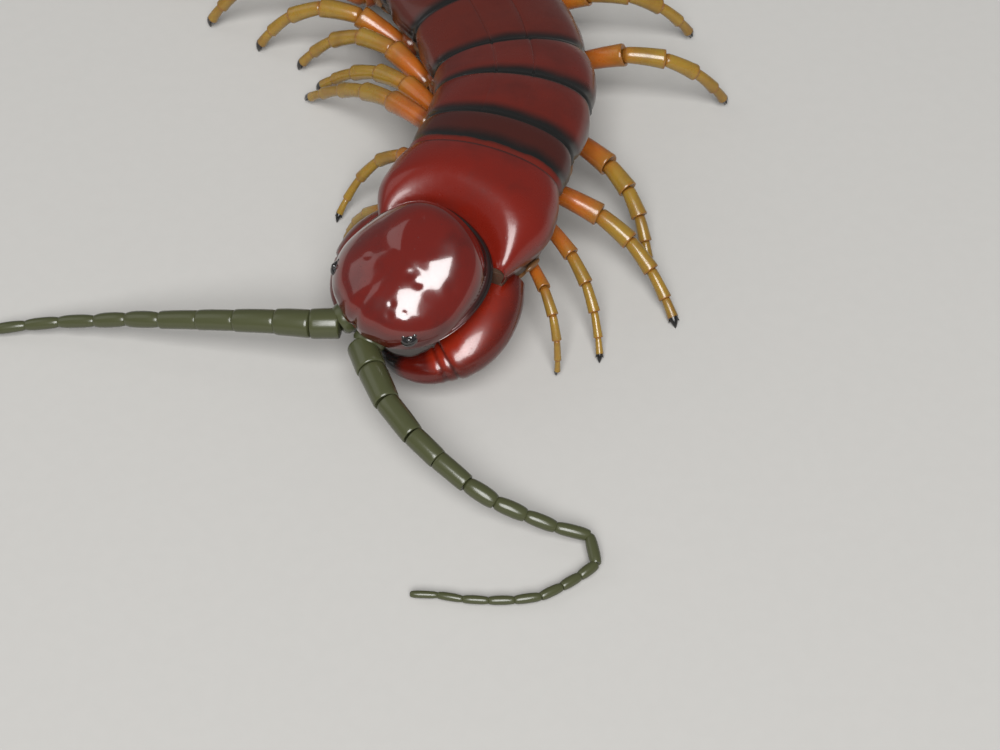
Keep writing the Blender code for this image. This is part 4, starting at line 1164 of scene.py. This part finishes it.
class CENTIPEDE_OT_flanks(bpy.types.Operator):
    """Adds the soft skin of the trunk, its small side plates and its breathing holes"""

    bl_idname = "centipede.flanks"
    bl_label = "Skin and flanks"

    def execute(self, context):
        spine = Spine()
        self.skin(spine)
        self.scutes(spine)
        self.breathing_holes(spine)
        return {"FINISHED"}

    def skin(self, spine):
        """One closed skin from the neck to the tail, under all the plates."""
        turn = head_frame(spine)
        back = turn.inverted()
        stations = list(np.arange(SKIN_START, spine.length + 0.9 * MM, SKIN_STEP))
        stations = [stations[0]] + stations + [stations[-1]]
        last = len(stations) - 1
        numbers = [int(np.clip(np.searchsorted(spine.ends, s), 1, SEGMENTS)) for s in stations]
        frames = [spine.frame(s) for s in stations]
        shape = new_shape()

        def place(angle, row):
            station, number = stations[row], numbers[row]
            if row in (0, last):
                return frames[row] @ Vector((0, 0, 0)), (0.5, 0.0, 0.0, float(number))
            x, z = math.cos(angle), math.sin(angle)
            side = 1 if x >= 0 else -1
            if z >= 0:
                half, rise, _ = spine.section(station, 0.93, 0.84)
                point = Vector((x * half, 0, z ** DOME_POWER * rise))
                around = 0.0
            else:
                around = math.degrees(math.asin(min(1.0, -z))) / 90.0
                point = flank_point(spine, number, station, around, side)
            end = TAIL_TAPER + (1 - TAIL_TAPER) * ease(spine.length - station, -0.5 * MM, 5.0 * MM)
            neck = 0.80 + 0.20 * ease(station, SKIN_START, 2.5 * MM)
            point = Vector((point.x * end * neck, 0, point.z * end * (neck if point.z > 0 else 1.0)))
            made = frames[row] @ point
            if station < 8 * MM and point.z > 0:
                made = tuck_under_shield(turn, back, made) - turn.to_3x3() @ UP * 0.25 * MM
            return made, (around, x, 0.0, float(number))

        roll_tube(shape, SKIN_SIDES, len(stations), place)
        nodes = [f"trunk_{k}" for k in range(1, SEGMENTS // 3 + 1)]
        finish_piece("body_skin", shape, skin_material(), nodes)

    def on_flank(self, spine, number, station, around, side):
        """A matrix on the skin: columns tailwards, round the body, and out."""
        base = spine.frame(station)
        here = base @ flank_point(spine, number, station, around, side)
        lower = base @ flank_point(spine, number, station, around + 0.04, side)
        step = 0.4 * MM
        behind = spine.frame(station + step) @ flank_point(spine, number, station + step, around, side)
        along_body = (behind - here).normalized()
        out = (lower - here).cross(along_body).normalized() * side
        if (out @ (base.to_3x3() @ Vector((side, 0, -0.3)))) < 0:
            out = -out
        round_body = out.cross(along_body).normalized()
        return Matrix((along_body, round_body, out)).transposed().to_4x4(), here

    def scutes(self, spine):
        """Small hard plates round the root of each leg."""
        for number in range(1, SEGMENTS):
            shape = new_shape()
            size = min(1.0, PLATE_LENGTHS[number - 1] / (7.0 * MM))
            for side in (1, -1):
                leg = leg_place(spine, number, side)
                for ahead, around, long, high in SCUTE_PLACES:
                    turn, here = self.on_flank(spine, number, leg + ahead * size * MM, around, side)
                    made = bmesh.ops.create_uvsphere(shape, u_segments=14, v_segments=8, radius=1.0)["verts"]
                    bmesh.ops.scale(shape, vec=Vector((long * size, high * size, SCUTE_DEPTH)) * MM, verts=made)
                    bmesh.ops.transform(shape, matrix=Matrix.Translation(here) @ turn, verts=made)
                    mark_verts(shape, made, 0.5, 0.0, 0.2, float(number))
            finish_piece(f"flank_scutes_{number:02d}", shape, belly_material())

    def breathing_holes(self, spine):
        """A rimmed slit on the flank of some segments, as in the living animal."""
        shape = new_shape()
        for number in HOLE_SEGMENTS:
            for side in (1, -1):
                station = leg_place(spine, number, side) + 1.9 * MM
                turn, here = self.on_flank(spine, number, station, 0.13, side)
                grid = Matrix.Translation(here + turn.to_3x3() @ Vector((0, 0, 0.10 * MM))) @ turn

                def place(angle, row, grid=grid, number=number):
                    spread, level = HOLE_PROFILE[row]
                    point = Vector((math.cos(angle) * HOLE_SIZE.x, math.sin(angle) * HOLE_SIZE.y, 0)) * spread
                    point.z = level * HOLE_SIZE.z
                    # Painted shade: the rows down inside the hole get a high joint mark, which the belly finish
                    # paints darker
                    dark = 1.0 if row > 4 else 0.3
                    return grid @ point, (0.5, 0.0, dark, float(number))

                roll_tube(shape, 24, len(HOLE_PROFILE), place)
        edge = [e for e in shape.edges if e.is_boundary]
        bmesh.ops.holes_fill(shape, edges=edge, sides=0)
        finish_piece("breathing_holes", shape, belly_material())


class CENTIPEDE_OT_walking_legs(bpy.types.Operator):
    """Adds the 20 pairs of walking legs with their joints, spurs and black claws"""

    bl_idname = "centipede.walking_legs"
    bl_label = "Walking legs"

    def execute(self, context):
        spine = Spine()
        for side in (1, -1):
            for number in range(1, SEGMENTS):
                self.leg(spine, number, side)
        return {"FINISHED"}

    def leg(self, spine, number, side):
        limbs = bpy.context.scene.centipede_limbs
        reach, swing, lean, length, root_station, root_reach, root_drop = leg_stance(number, side)
        station = spine.inside(number, root_station)
        base = spine.frame(station)
        half = spine.width(station) / 2
        level = -root_drop * spine.width(station) * DEPTH_SHARE
        root = base @ Vector((side * half * root_reach, 0, level))
        inner = base @ Vector((side * half * (root_reach - LEG_BURIED), 0, level * LEG_BURIED_DROP))
        swing = math.radians(swing)
        out = base.to_3x3() @ Vector((side * math.cos(swing), math.sin(swing), 0.0))
        out.z = 0.0
        foot = root + out.normalized() * reach * MM
        foot.z = FOOT_HEIGHT
        joints = limb_joints(root, foot, np.array(ARTICLE_LENGTHS) * length * MM, ARTICLE_BENDS, lean)
        thick = along(LEG_THICKNESS_AT, number) * MM
        widths = [thick * share for share in ARTICLE_WIDTHS]
        name = f"leg_{side_name(side)}_{number:02d}"
        shape = new_shape()
        jointed_leg(shape, inner, joints, widths, limbs.leg_sides, limbs.spur * thick / (2.0 * MM), number)
        finish_piece(f"{name}_shell", shape, leg_material(), (name,))


def jointed_leg(shape, inner, joints, widths, sides, spur, number):
    """The hip, five articles, a curved claw with two side claws, and the spur before the last joint."""
    ends = np.concatenate([[0.0], np.cumsum(ARTICLE_LENGTHS)])
    hip = joints[0] + (joints[1] - joints[0]) * 0.03
    thick = widths[0]
    link_of_limb(shape, inner, hip, (thick * 1.12, thick * 1.05), HIP_PROFILE, sides, (0.0, 0.02), number)
    for k in range(len(widths) - 1):
        pair = (widths[k] * 0.92, widths[k])
        run = (ends[k], min(LEG_RUN_END, ends[k + 1]))
        link_of_limb(shape, joints[k], joints[k + 1], pair, ARTICLE_PROFILE, sides, run, number,
                     bow=ARTICLE_BOW)
    way = joints[-1] - joints[-2]
    lean = Vector((way.x, way.y, 0)).normalized() * way.length * 0.22 + UP * way.length * 0.12
    black = (0.98, 0.0, 0.0, number)
    spike(shape, joints[-2] - way * 0.12, joints[-1], lean, widths[-1] * 1.35, 10, black)
    across = way.cross(UP).normalized()
    for turn in (1, -1):
        root = joints[-2] + across * turn * widths[-1] * 0.35
        tip = root + way * 0.42 + across * turn * widths[-1] * 0.35
        spike(shape, root, tip, lean * 0.3, widths[-1] * 0.45, 6, black, rows=6)
    shin = (joints[4] - joints[3]).normalized()
    under = shin.cross(shin.cross(UP)).normalized()
    under = -under if under.z > 0 else under
    root = joints[4] - shin * 0.1 * MM + under * widths[3] * 0.36
    spike(shape, root, root + (shin + under * 0.55).normalized() * spur, under * spur * 0.1, spur * 0.42, 8,
          (0.96, 0.0, 0.0, number), rows=6)


class CENTIPEDE_OT_last_legs(bpy.types.Operator):
    """Adds the long last pair of legs with their thorns, and the lobes that carry them"""

    bl_idname = "centipede.last_legs"
    bl_label = "Last legs"

    def execute(self, context):
        spine = Spine()
        for side in (1, -1):
            self.leg(spine, side)
        self.lobes(spine)
        return {"FINISHED"}

    def leg(self, spine, side):
        limbs = bpy.context.scene.centipede_limbs
        base = spine.frame(spine.length)
        half = spine.width(spine.length) / 2
        depth = spine.width(spine.length) * DEPTH_SHARE
        inner = base @ Vector((side * half * 0.38, -2.5 * MM, -0.25 * depth))
        root = base @ Vector((side * half * 0.42, 0.8 * MM, -0.20 * depth))
        splay = math.radians(LAST_LEG_SPLAY)
        out = base.to_3x3() @ Vector((side * math.sin(splay), math.cos(splay), 0.0))
        out.z = 0.0
        foot = root + out.normalized() * LAST_LEG_REACH
        foot.z = FOOT_HEIGHT
        lengths = np.array([length for length, _ in LAST_LEG_ARTICLES]) * MM
        widths = [width * MM for _, width in LAST_LEG_ARTICLES]
        joints = limb_joints(root, foot, lengths, LAST_LEG_BENDS, side * LAST_LEG_LEAN)
        shape = new_shape()
        jointed_leg(shape, inner, joints, widths, LAST_LEG_SIDES, LAST_LEG_SPUR, SEGMENTS)
        run = joints[1] - joints[0]
        across = run.cross(UP).normalized() * -side
        down = run.cross(across).normalized()
        down = -down if down.z > 0 else down
        for share, angle in THORN_PLACES:
            inward = (across * math.cos(math.radians(angle)) + down * math.sin(math.radians(angle))).normalized()
            start = joints[0] + run * share + inward * widths[0] / 2 * (0.80 + 0.12 * share)
            way = (inward + run.normalized() * 0.7).normalized()
            spike(shape, start - way * 0.15 * MM, start + way * limbs.thorn * 0.85, run.normalized() * 0.12 * MM,
                  0.62 * MM, 10, (0.975, 0.0, 0.0, float(SEGMENTS)))
        name = f"leg_last_{side_name(side)}"
        finish_piece(f"{name}_shell", shape, leg_material(), (name,))

    def lobes(self, spine):
        """The pitted lobe on each side of the last segment, drawn out to a point."""
        length, width = LOBE_SIZE
        half = spine.width(spine.length) / 2 * TAIL_TAPER
        depth = spine.width(spine.length) * DEPTH_SHARE * TAIL_TAPER
        base = spine.frame(spine.length)
        dark = (0.975, 0.0, 0.9, float(SEGMENTS))
        shape = new_shape()
        for side in (1, -1):
            place = Vector((side * 0.62 * half, 0, -0.62 * depth))
            start = base @ place
            end = base @ (place + Vector((0, length, 0)))
            link_of_limb(shape, start, end, (width, width), LOBE_PROFILE, 24, (0.3, 0.9), float(SEGMENTS))
            for turn in (-0.5, 0.5):
                root = end - (end - start) * 0.08
                tip = end + (end - start) * 0.10 + base.to_3x3() @ Vector((turn * 0.3, 0, turn * 0.2)) * MM
                spike(shape, root, tip, Vector((0, 0, 0.02 * MM)), 0.28 * MM, 8, dark, rows=6)
        finish_piece("tail_lobes", shape, belly_material())


class CENTIPEDE_OT_feelers(bpy.types.Operator):
    """Adds the two feelers of 18 articles, glossy at the root and velvety towards the tip"""

    bl_idname = "centipede.feelers"
    bl_label = "Feelers"

    def execute(self, context):
        spine = Spine()
        for side in (1, -1):
            self.feeler(spine, side)
        return {"FINISHED"}

    def feeler(self, spine, side):
        limbs = bpy.context.scene.centipede_limbs
        base = head_frame(spine)
        root = base @ Vector((side * FEELER_ROOT.x + FEELER_SHIFT, FEELER_ROOT.y, FEELER_ROOT.z))
        inner = root + base.to_3x3() @ Vector((0, FEELER_ROOT_DEPTH, 0))
        place, joints, widths = root.copy(), [root.copy()], []
        for number, (length, way) in enumerate(LEFT_FEELER if side > 0 else RIGHT_FEELER, 1):
            length *= MM
            width = along(FEELER_WIDTH_AT, number) * MM
            way = math.radians(way)
            share = min(1.0, number / FEELER_DESCENT)
            descent = share * share * (3 - 2 * share)
            drop = root.z + (width / 2 + FEELER_REST - root.z) * descent - place.z
            level = math.sqrt(length * length - drop * drop)
            place = place + Vector((level * math.cos(way), level * math.sin(way), drop))
            joints.append(place)
            widths.append(width)
        shape = new_shape()
        sides = limbs.feeler_sides
        socket_end = root + (joints[1] - root) * 0.06
        pair = (widths[0] * 0.95, widths[0])
        link_of_limb(shape, inner, socket_end, pair, FEELER_SOCKET, sides, (0.0, 0.01), 0.0)
        for k, width in enumerate(widths):
            after = widths[min(k + 1, len(widths) - 1)]
            pair = (width, width * 0.35 + after * 0.65) if k < GLOSSY_ARTICLES else (width, width)
            run = (k / FEELER_ARTICLES, (k + 1) / FEELER_ARTICLES)
            profile = TUBE_PROFILE if k < GLOSSY_ARTICLES else SPINDLE_PROFILE
            profile = ROUNDED_PROFILE if k == FEELER_ARTICLES - 1 else profile
            link_of_limb(shape, joints[k], joints[k + 1], pair, profile, sides, run, float(k), bow=FEELER_BOW)
        name = f"antenna_{side_name(side)}"
        finish_piece(f"{name}_shell", shape, feeler_material(), (name,))


class CENTIPEDE_OT_poison_claws(bpy.types.Operator):
    """Adds the two poison claws and the plate with black teeth that carries them"""

    bl_idname = "centipede.poison_claws"
    bl_label = "Poison claws"

    def execute(self, context):
        base = head_frame(Spine())
        for side in (1, -1):
            self.claw(base, side)
        self.shield(base)
        return {"FINISHED"}

    def claw(self, base, side):
        limbs = bpy.context.scene.centipede_limbs
        ways = (side, -1, 1)
        axes = [tuple((k, point[n] * ways[n]) for k, (point, _) in enumerate(POISON_CLAW_PATH))
                for n in range(3)]
        spans = tuple((k, width) for k, (_, width) in enumerate(POISON_CLAW_PATH))
        rows = POISON_CLAW_ROWS
        last = len(POISON_CLAW_PATH) - 1.0
        centres = []
        for row in range(rows):
            where = last * row / (rows - 1)
            centres.append(Vector([smooth_along(axis, where) for axis in axes]) * MM)
        shape = new_shape()

        def place(angle, row):
            where = last * row / (rows - 1)
            way = (centres[min(row + 1, rows - 1)] - centres[max(row - 1, 0)]).normalized()
            across = UP.cross(way).normalized() * side
            up = way.cross(across).normalized() * side
            width = smooth_along(spans, where) * MM
            joint = max(hump(where - 3.72, 0.045), hump(where - 4.12, 0.05))
            width *= 1.0 - 0.09 * joint + 0.03 * hump(where - 3.5, 0.16)
            if row in (0, rows - 1):
                width = 0.0
            outer = math.cos(angle)
            keel = 1.0 + 0.10 * hump(outer - 1.0, 0.5) * hump(where - 2.2, 1.6)
            out = across * outer * keel + up * limbs.claw_flatness * math.sin(angle)
            return centres[row] + out * width / 2, (where / last, outer, joint, 0.0)

        roll_tube(shape, POISON_CLAW_SIDES, rows, place)
        for root, tip, wide in POISON_CLAW_TEETH:
            root, tip = (Vector((side * x, -y, z)) * MM for x, y, z in (root, tip))
            spike(shape, root, tip, Vector((0, 0, 0.05 * MM)), wide * MM, 12, (0.9, 0.0, 0.0, 0.0))
        shape.transform(base)
        name = f"poison_claw_{side_name(side)}"
        finish_piece(f"{name}_shell", shape, poison_claw_material(), (name,))

    def shield(self, base):
        """The broad plate under the head, with a middle groove and two toothed lobes at its front."""
        shape = new_shape()
        bmesh.ops.create_cube(shape, size=2.0)
        bmesh.ops.subdivide_edges(shape, edges=shape.edges[:], cuts=CLAW_SHIELD_CUTS, use_grid_fill=True)
        size = CLAW_SHIELD_SIZE / 2
        for vert in shape.verts:
            inner = Vector([vert.co[k] * (size[k] - CLAW_SHIELD_ROUND) for k in range(3)])
            shell = Vector([vert.co[k] ** 5 for k in range(3)])
            point = inner + shell.normalized() * CLAW_SHIELD_ROUND
            point.z -= 0.0 if vert.co.z > 0 else 0.10 * MM * (1 - hump(point.x, 0.25 * MM))
            front = ease(-point.y, 0.5 * size.y, size.y)
            point.x *= 1.0 - 0.22 * front
            vert.co = point + CLAW_SHIELD_PLACE
        mark_verts(shape, shape.verts[:], 0.22, 0.0, 0.0, 0.0)
        for side in (1, -1):
            for k in range(5):
                root = CLAW_SHIELD_PLACE + Vector((side * (0.5 + 0.42 * k) * MM, -size.y * (0.95 - 0.012 * k * k),
                                                   -0.35 * MM))
                tip = root + Vector((side * 0.05, -0.62 + 0.04 * k, -0.05)) * MM
                spike(shape, root, tip, Vector((0, 0, -0.03 * MM)), 0.52 * MM, 10, (0.95, 0.0, 0.0, 0.0), rows=6)
        shape.transform(base)
        node = "poison_claw_base"
        finish_piece("poison_claw_plate", shape, poison_claw_material(), (node,))


class CENTIPEDE_OT_mouthparts(bpy.types.Operator):
    """Adds the lip, the jaws' plate and the two jointed palps between the poison claws"""

    bl_idname = "centipede.mouthparts"
    bl_label = "Mouthparts"

    def execute(self, context):
        base = head_frame(Spine())
        shape = new_shape()
        self.lump(shape, Vector((0, -0.9, -3.45)), Vector((1.3, 1.5, 0.42)), 0.35)
        self.lump(shape, Vector((0, -3.9, -1.9)), Vector((1.7, 0.9, 0.75)), 0.30)
        for side in (1, -1):
            self.lump(shape, Vector((side * 0.75, -1.9, -3.0)), Vector((0.75, 1.0, 0.5)), 0.25)
            points = [Vector((side * x, y, z)) * MM for (x, y, z), _ in PALP_PATH]
            for k in range(len(points) - 1):
                pair = (PALP_PATH[k][1] * MM, PALP_PATH[k + 1][1] * 1.1 * MM)
                link_of_limb(shape, points[k], points[k + 1], pair, TUBE_PROFILE, 16, (0.15, 0.25), 0.0)
            way = points[-1] - points[-2]
            spike(shape, points[-1] - way * 0.2, points[-1] + way * 0.5, Vector((0, 0, -0.04 * MM)), 0.26 * MM, 8,
                  (0.95, 0.0, 0.0, 0.0), rows=6)
        shape.transform(base)
        finish_piece("mouth", shape, poison_claw_material(), ("mouthparts",))
        return {"FINISHED"}

    def lump(self, shape, place, radii, run):
        made = bmesh.ops.create_uvsphere(shape, u_segments=32, v_segments=18, radius=1.0)["verts"]
        bmesh.ops.scale(shape, vec=radii * MM, verts=made)
        bmesh.ops.translate(shape, vec=place * MM, verts=made)
        mark_verts(shape, made, run, 0.0, 0.0, 0.0)


class CENTIPEDE_OT_stage(bpy.types.Operator):
    """Adds the pale floor, the soft lights and the camera"""

    bl_idname = "centipede.stage"
    bl_label = "Stage"

    def execute(self, context):
        self.floor()
        self.camera()
        self.lights()
        return {"FINISHED"}

    def floor(self):
        stage = bpy.context.scene.centipede_stage
        shape = bmesh.new()
        bmesh.ops.create_circle(shape, cap_ends=True, segments=96, radius=FLOOR_RADIUS)
        mesh = bpy.data.meshes.new("floor")
        shape.to_mesh(mesh)
        shape.free()
        floor = bpy.data.objects.new("floor", mesh)
        bpy.context.scene.collection.objects.link(floor)
        made = bpy.data.materials.new("floor_matte")
        made.use_nodes = True
        nodes = Nodes(made.node_tree)
        grain = nodes.cloud(nodes.object_place(), 900.0, detail=2.0)
        tint = nodes.blend(nodes.step(grain, 0.3, 0.7, 0.0, 0.12), stage.floor, darker(stage.floor, 0.9))
        shader = made.node_tree.nodes["Principled BSDF"]
        nodes.feed(shader.inputs["Base Color"], tint)
        shader.inputs["Roughness"].default_value = 0.75
        shader.inputs["Specular IOR Level"].default_value = 0.2
        mesh.materials.append(made)

    def camera(self):
        """Looks down at the head from the front, with the head's middle at its own place in the frame."""
        stage = bpy.context.scene.centipede_stage
        ahead = Vector((0, math.cos(stage.elevation), -math.sin(stage.elevation)))
        right = Vector((1, 0, 0))
        up = right.cross(ahead)
        head = head_frame(Spine()).translation
        side_step = (HEAD_PIXEL[0] - IMAGE_SIZE[0] / 2) / PIXELS_PER_METRE
        up_step = (IMAGE_SIZE[1] / 2 - HEAD_PIXEL[1]) / PIXELS_PER_METRE
        made = bpy.data.cameras.new("camera")
        made.sensor_width = SENSOR
        made.lens = PIXELS_PER_METRE * stage.distance / IMAGE_SIZE[0] * SENSOR
        made.clip_start = 0.001
        made.clip_end = 20.0
        camera = bpy.data.objects.new("camera", made)
        bpy.context.scene.collection.objects.link(camera)
        camera.matrix_world = Matrix((right, up, -ahead)).transposed().to_4x4()
        camera.location = head - ahead * stage.distance - right * side_step - up * up_step
        bpy.context.scene.camera = camera

    def lights(self):
        stage = bpy.context.scene.centipede_stage
        head = head_frame(Spine()).translation
        self.soft_light("key", head + KEY_PLACE, head, KEY_SIZE, stage.key_power)
        self.soft_light("side", head + SIDE_PLACE, head, SIDE_SIZE, stage.side_power)
        world = bpy.data.worlds.new("studio")
        world.use_nodes = True
        shade = world.node_tree.nodes["Background"]
        shade.inputs["Color"].default_value = (0.96, 0.98, 1.0, 1.0)
        shade.inputs["Strength"].default_value = stage.sky
        bpy.context.scene.world = world
        bpy.context.scene.view_settings.view_transform = "Standard"

    def soft_light(self, name, place, target, size, power):
        made = bpy.data.lights.new(name, "AREA")
        made.shape = "RECTANGLE"
        made.size, made.size_y = size
        made.energy = power
        light = bpy.data.objects.new(name, made)
        bpy.context.scene.collection.objects.link(light)
        light.location = place
        light.rotation_mode = "QUATERNION"
        light.rotation_quaternion = (target - place).to_track_quat("-Z", "Y")


class CENTIPEDE_PT_panel(bpy.types.Panel):
    """Lists the pieces of the centipede and their settings"""

    bl_idname = "CENTIPEDE_PT_panel"
    bl_label = "Centipede"
    bl_space_type = "VIEW_3D"
    bl_region_type = "UI"
    bl_category = "Centipede"

    def draw(self, context):
        for operator in OPERATORS:
            self.layout.operator(operator.bl_idname)
        for key, group in SETTINGS.items():
            box = self.layout.box()
            box.label(text=group.__doc__)
            for name in group.__annotations__:
                box.prop(getattr(context.scene, key), name)


SETTINGS = {
    "centipede_head": HeadSettings,
    "centipede_trunk": TrunkSettings,
    "centipede_limbs": LimbSettings,
    "centipede_finish": FinishSettings,
    "centipede_stage": StageSettings,
}
OPERATORS = (
    CENTIPEDE_OT_stage,
    CENTIPEDE_OT_head,
    CENTIPEDE_OT_eyes,
    CENTIPEDE_OT_feelers,
    CENTIPEDE_OT_poison_claws,
    CENTIPEDE_OT_mouthparts,
    CENTIPEDE_OT_back_plates,
    CENTIPEDE_OT_belly_plates,
    CENTIPEDE_OT_flanks,
    CENTIPEDE_OT_walking_legs,
    CENTIPEDE_OT_last_legs,
)


def register():
    for group in SETTINGS.values():
        bpy.utils.register_class(group)
    for key, group in SETTINGS.items():
        setattr(bpy.types.Scene, key, PointerProperty(type=group))
    for operator in OPERATORS:
        bpy.utils.register_class(operator)
    bpy.utils.register_class(CENTIPEDE_PT_panel)


def unregister():
    bpy.utils.unregister_class(CENTIPEDE_PT_panel)
    for operator in reversed(OPERATORS):
        bpy.utils.unregister_class(operator)
    for key in SETTINGS:
        delattr(bpy.types.Scene, key)
    for group in reversed(list(SETTINGS.values())):
        bpy.utils.unregister_class(group)


def main():
    register()
    for operator in OPERATORS:
        family, name = operator.bl_idname.split(".")
        getattr(getattr(bpy.ops, family), name)()


if __name__ == "__main__":
    main()
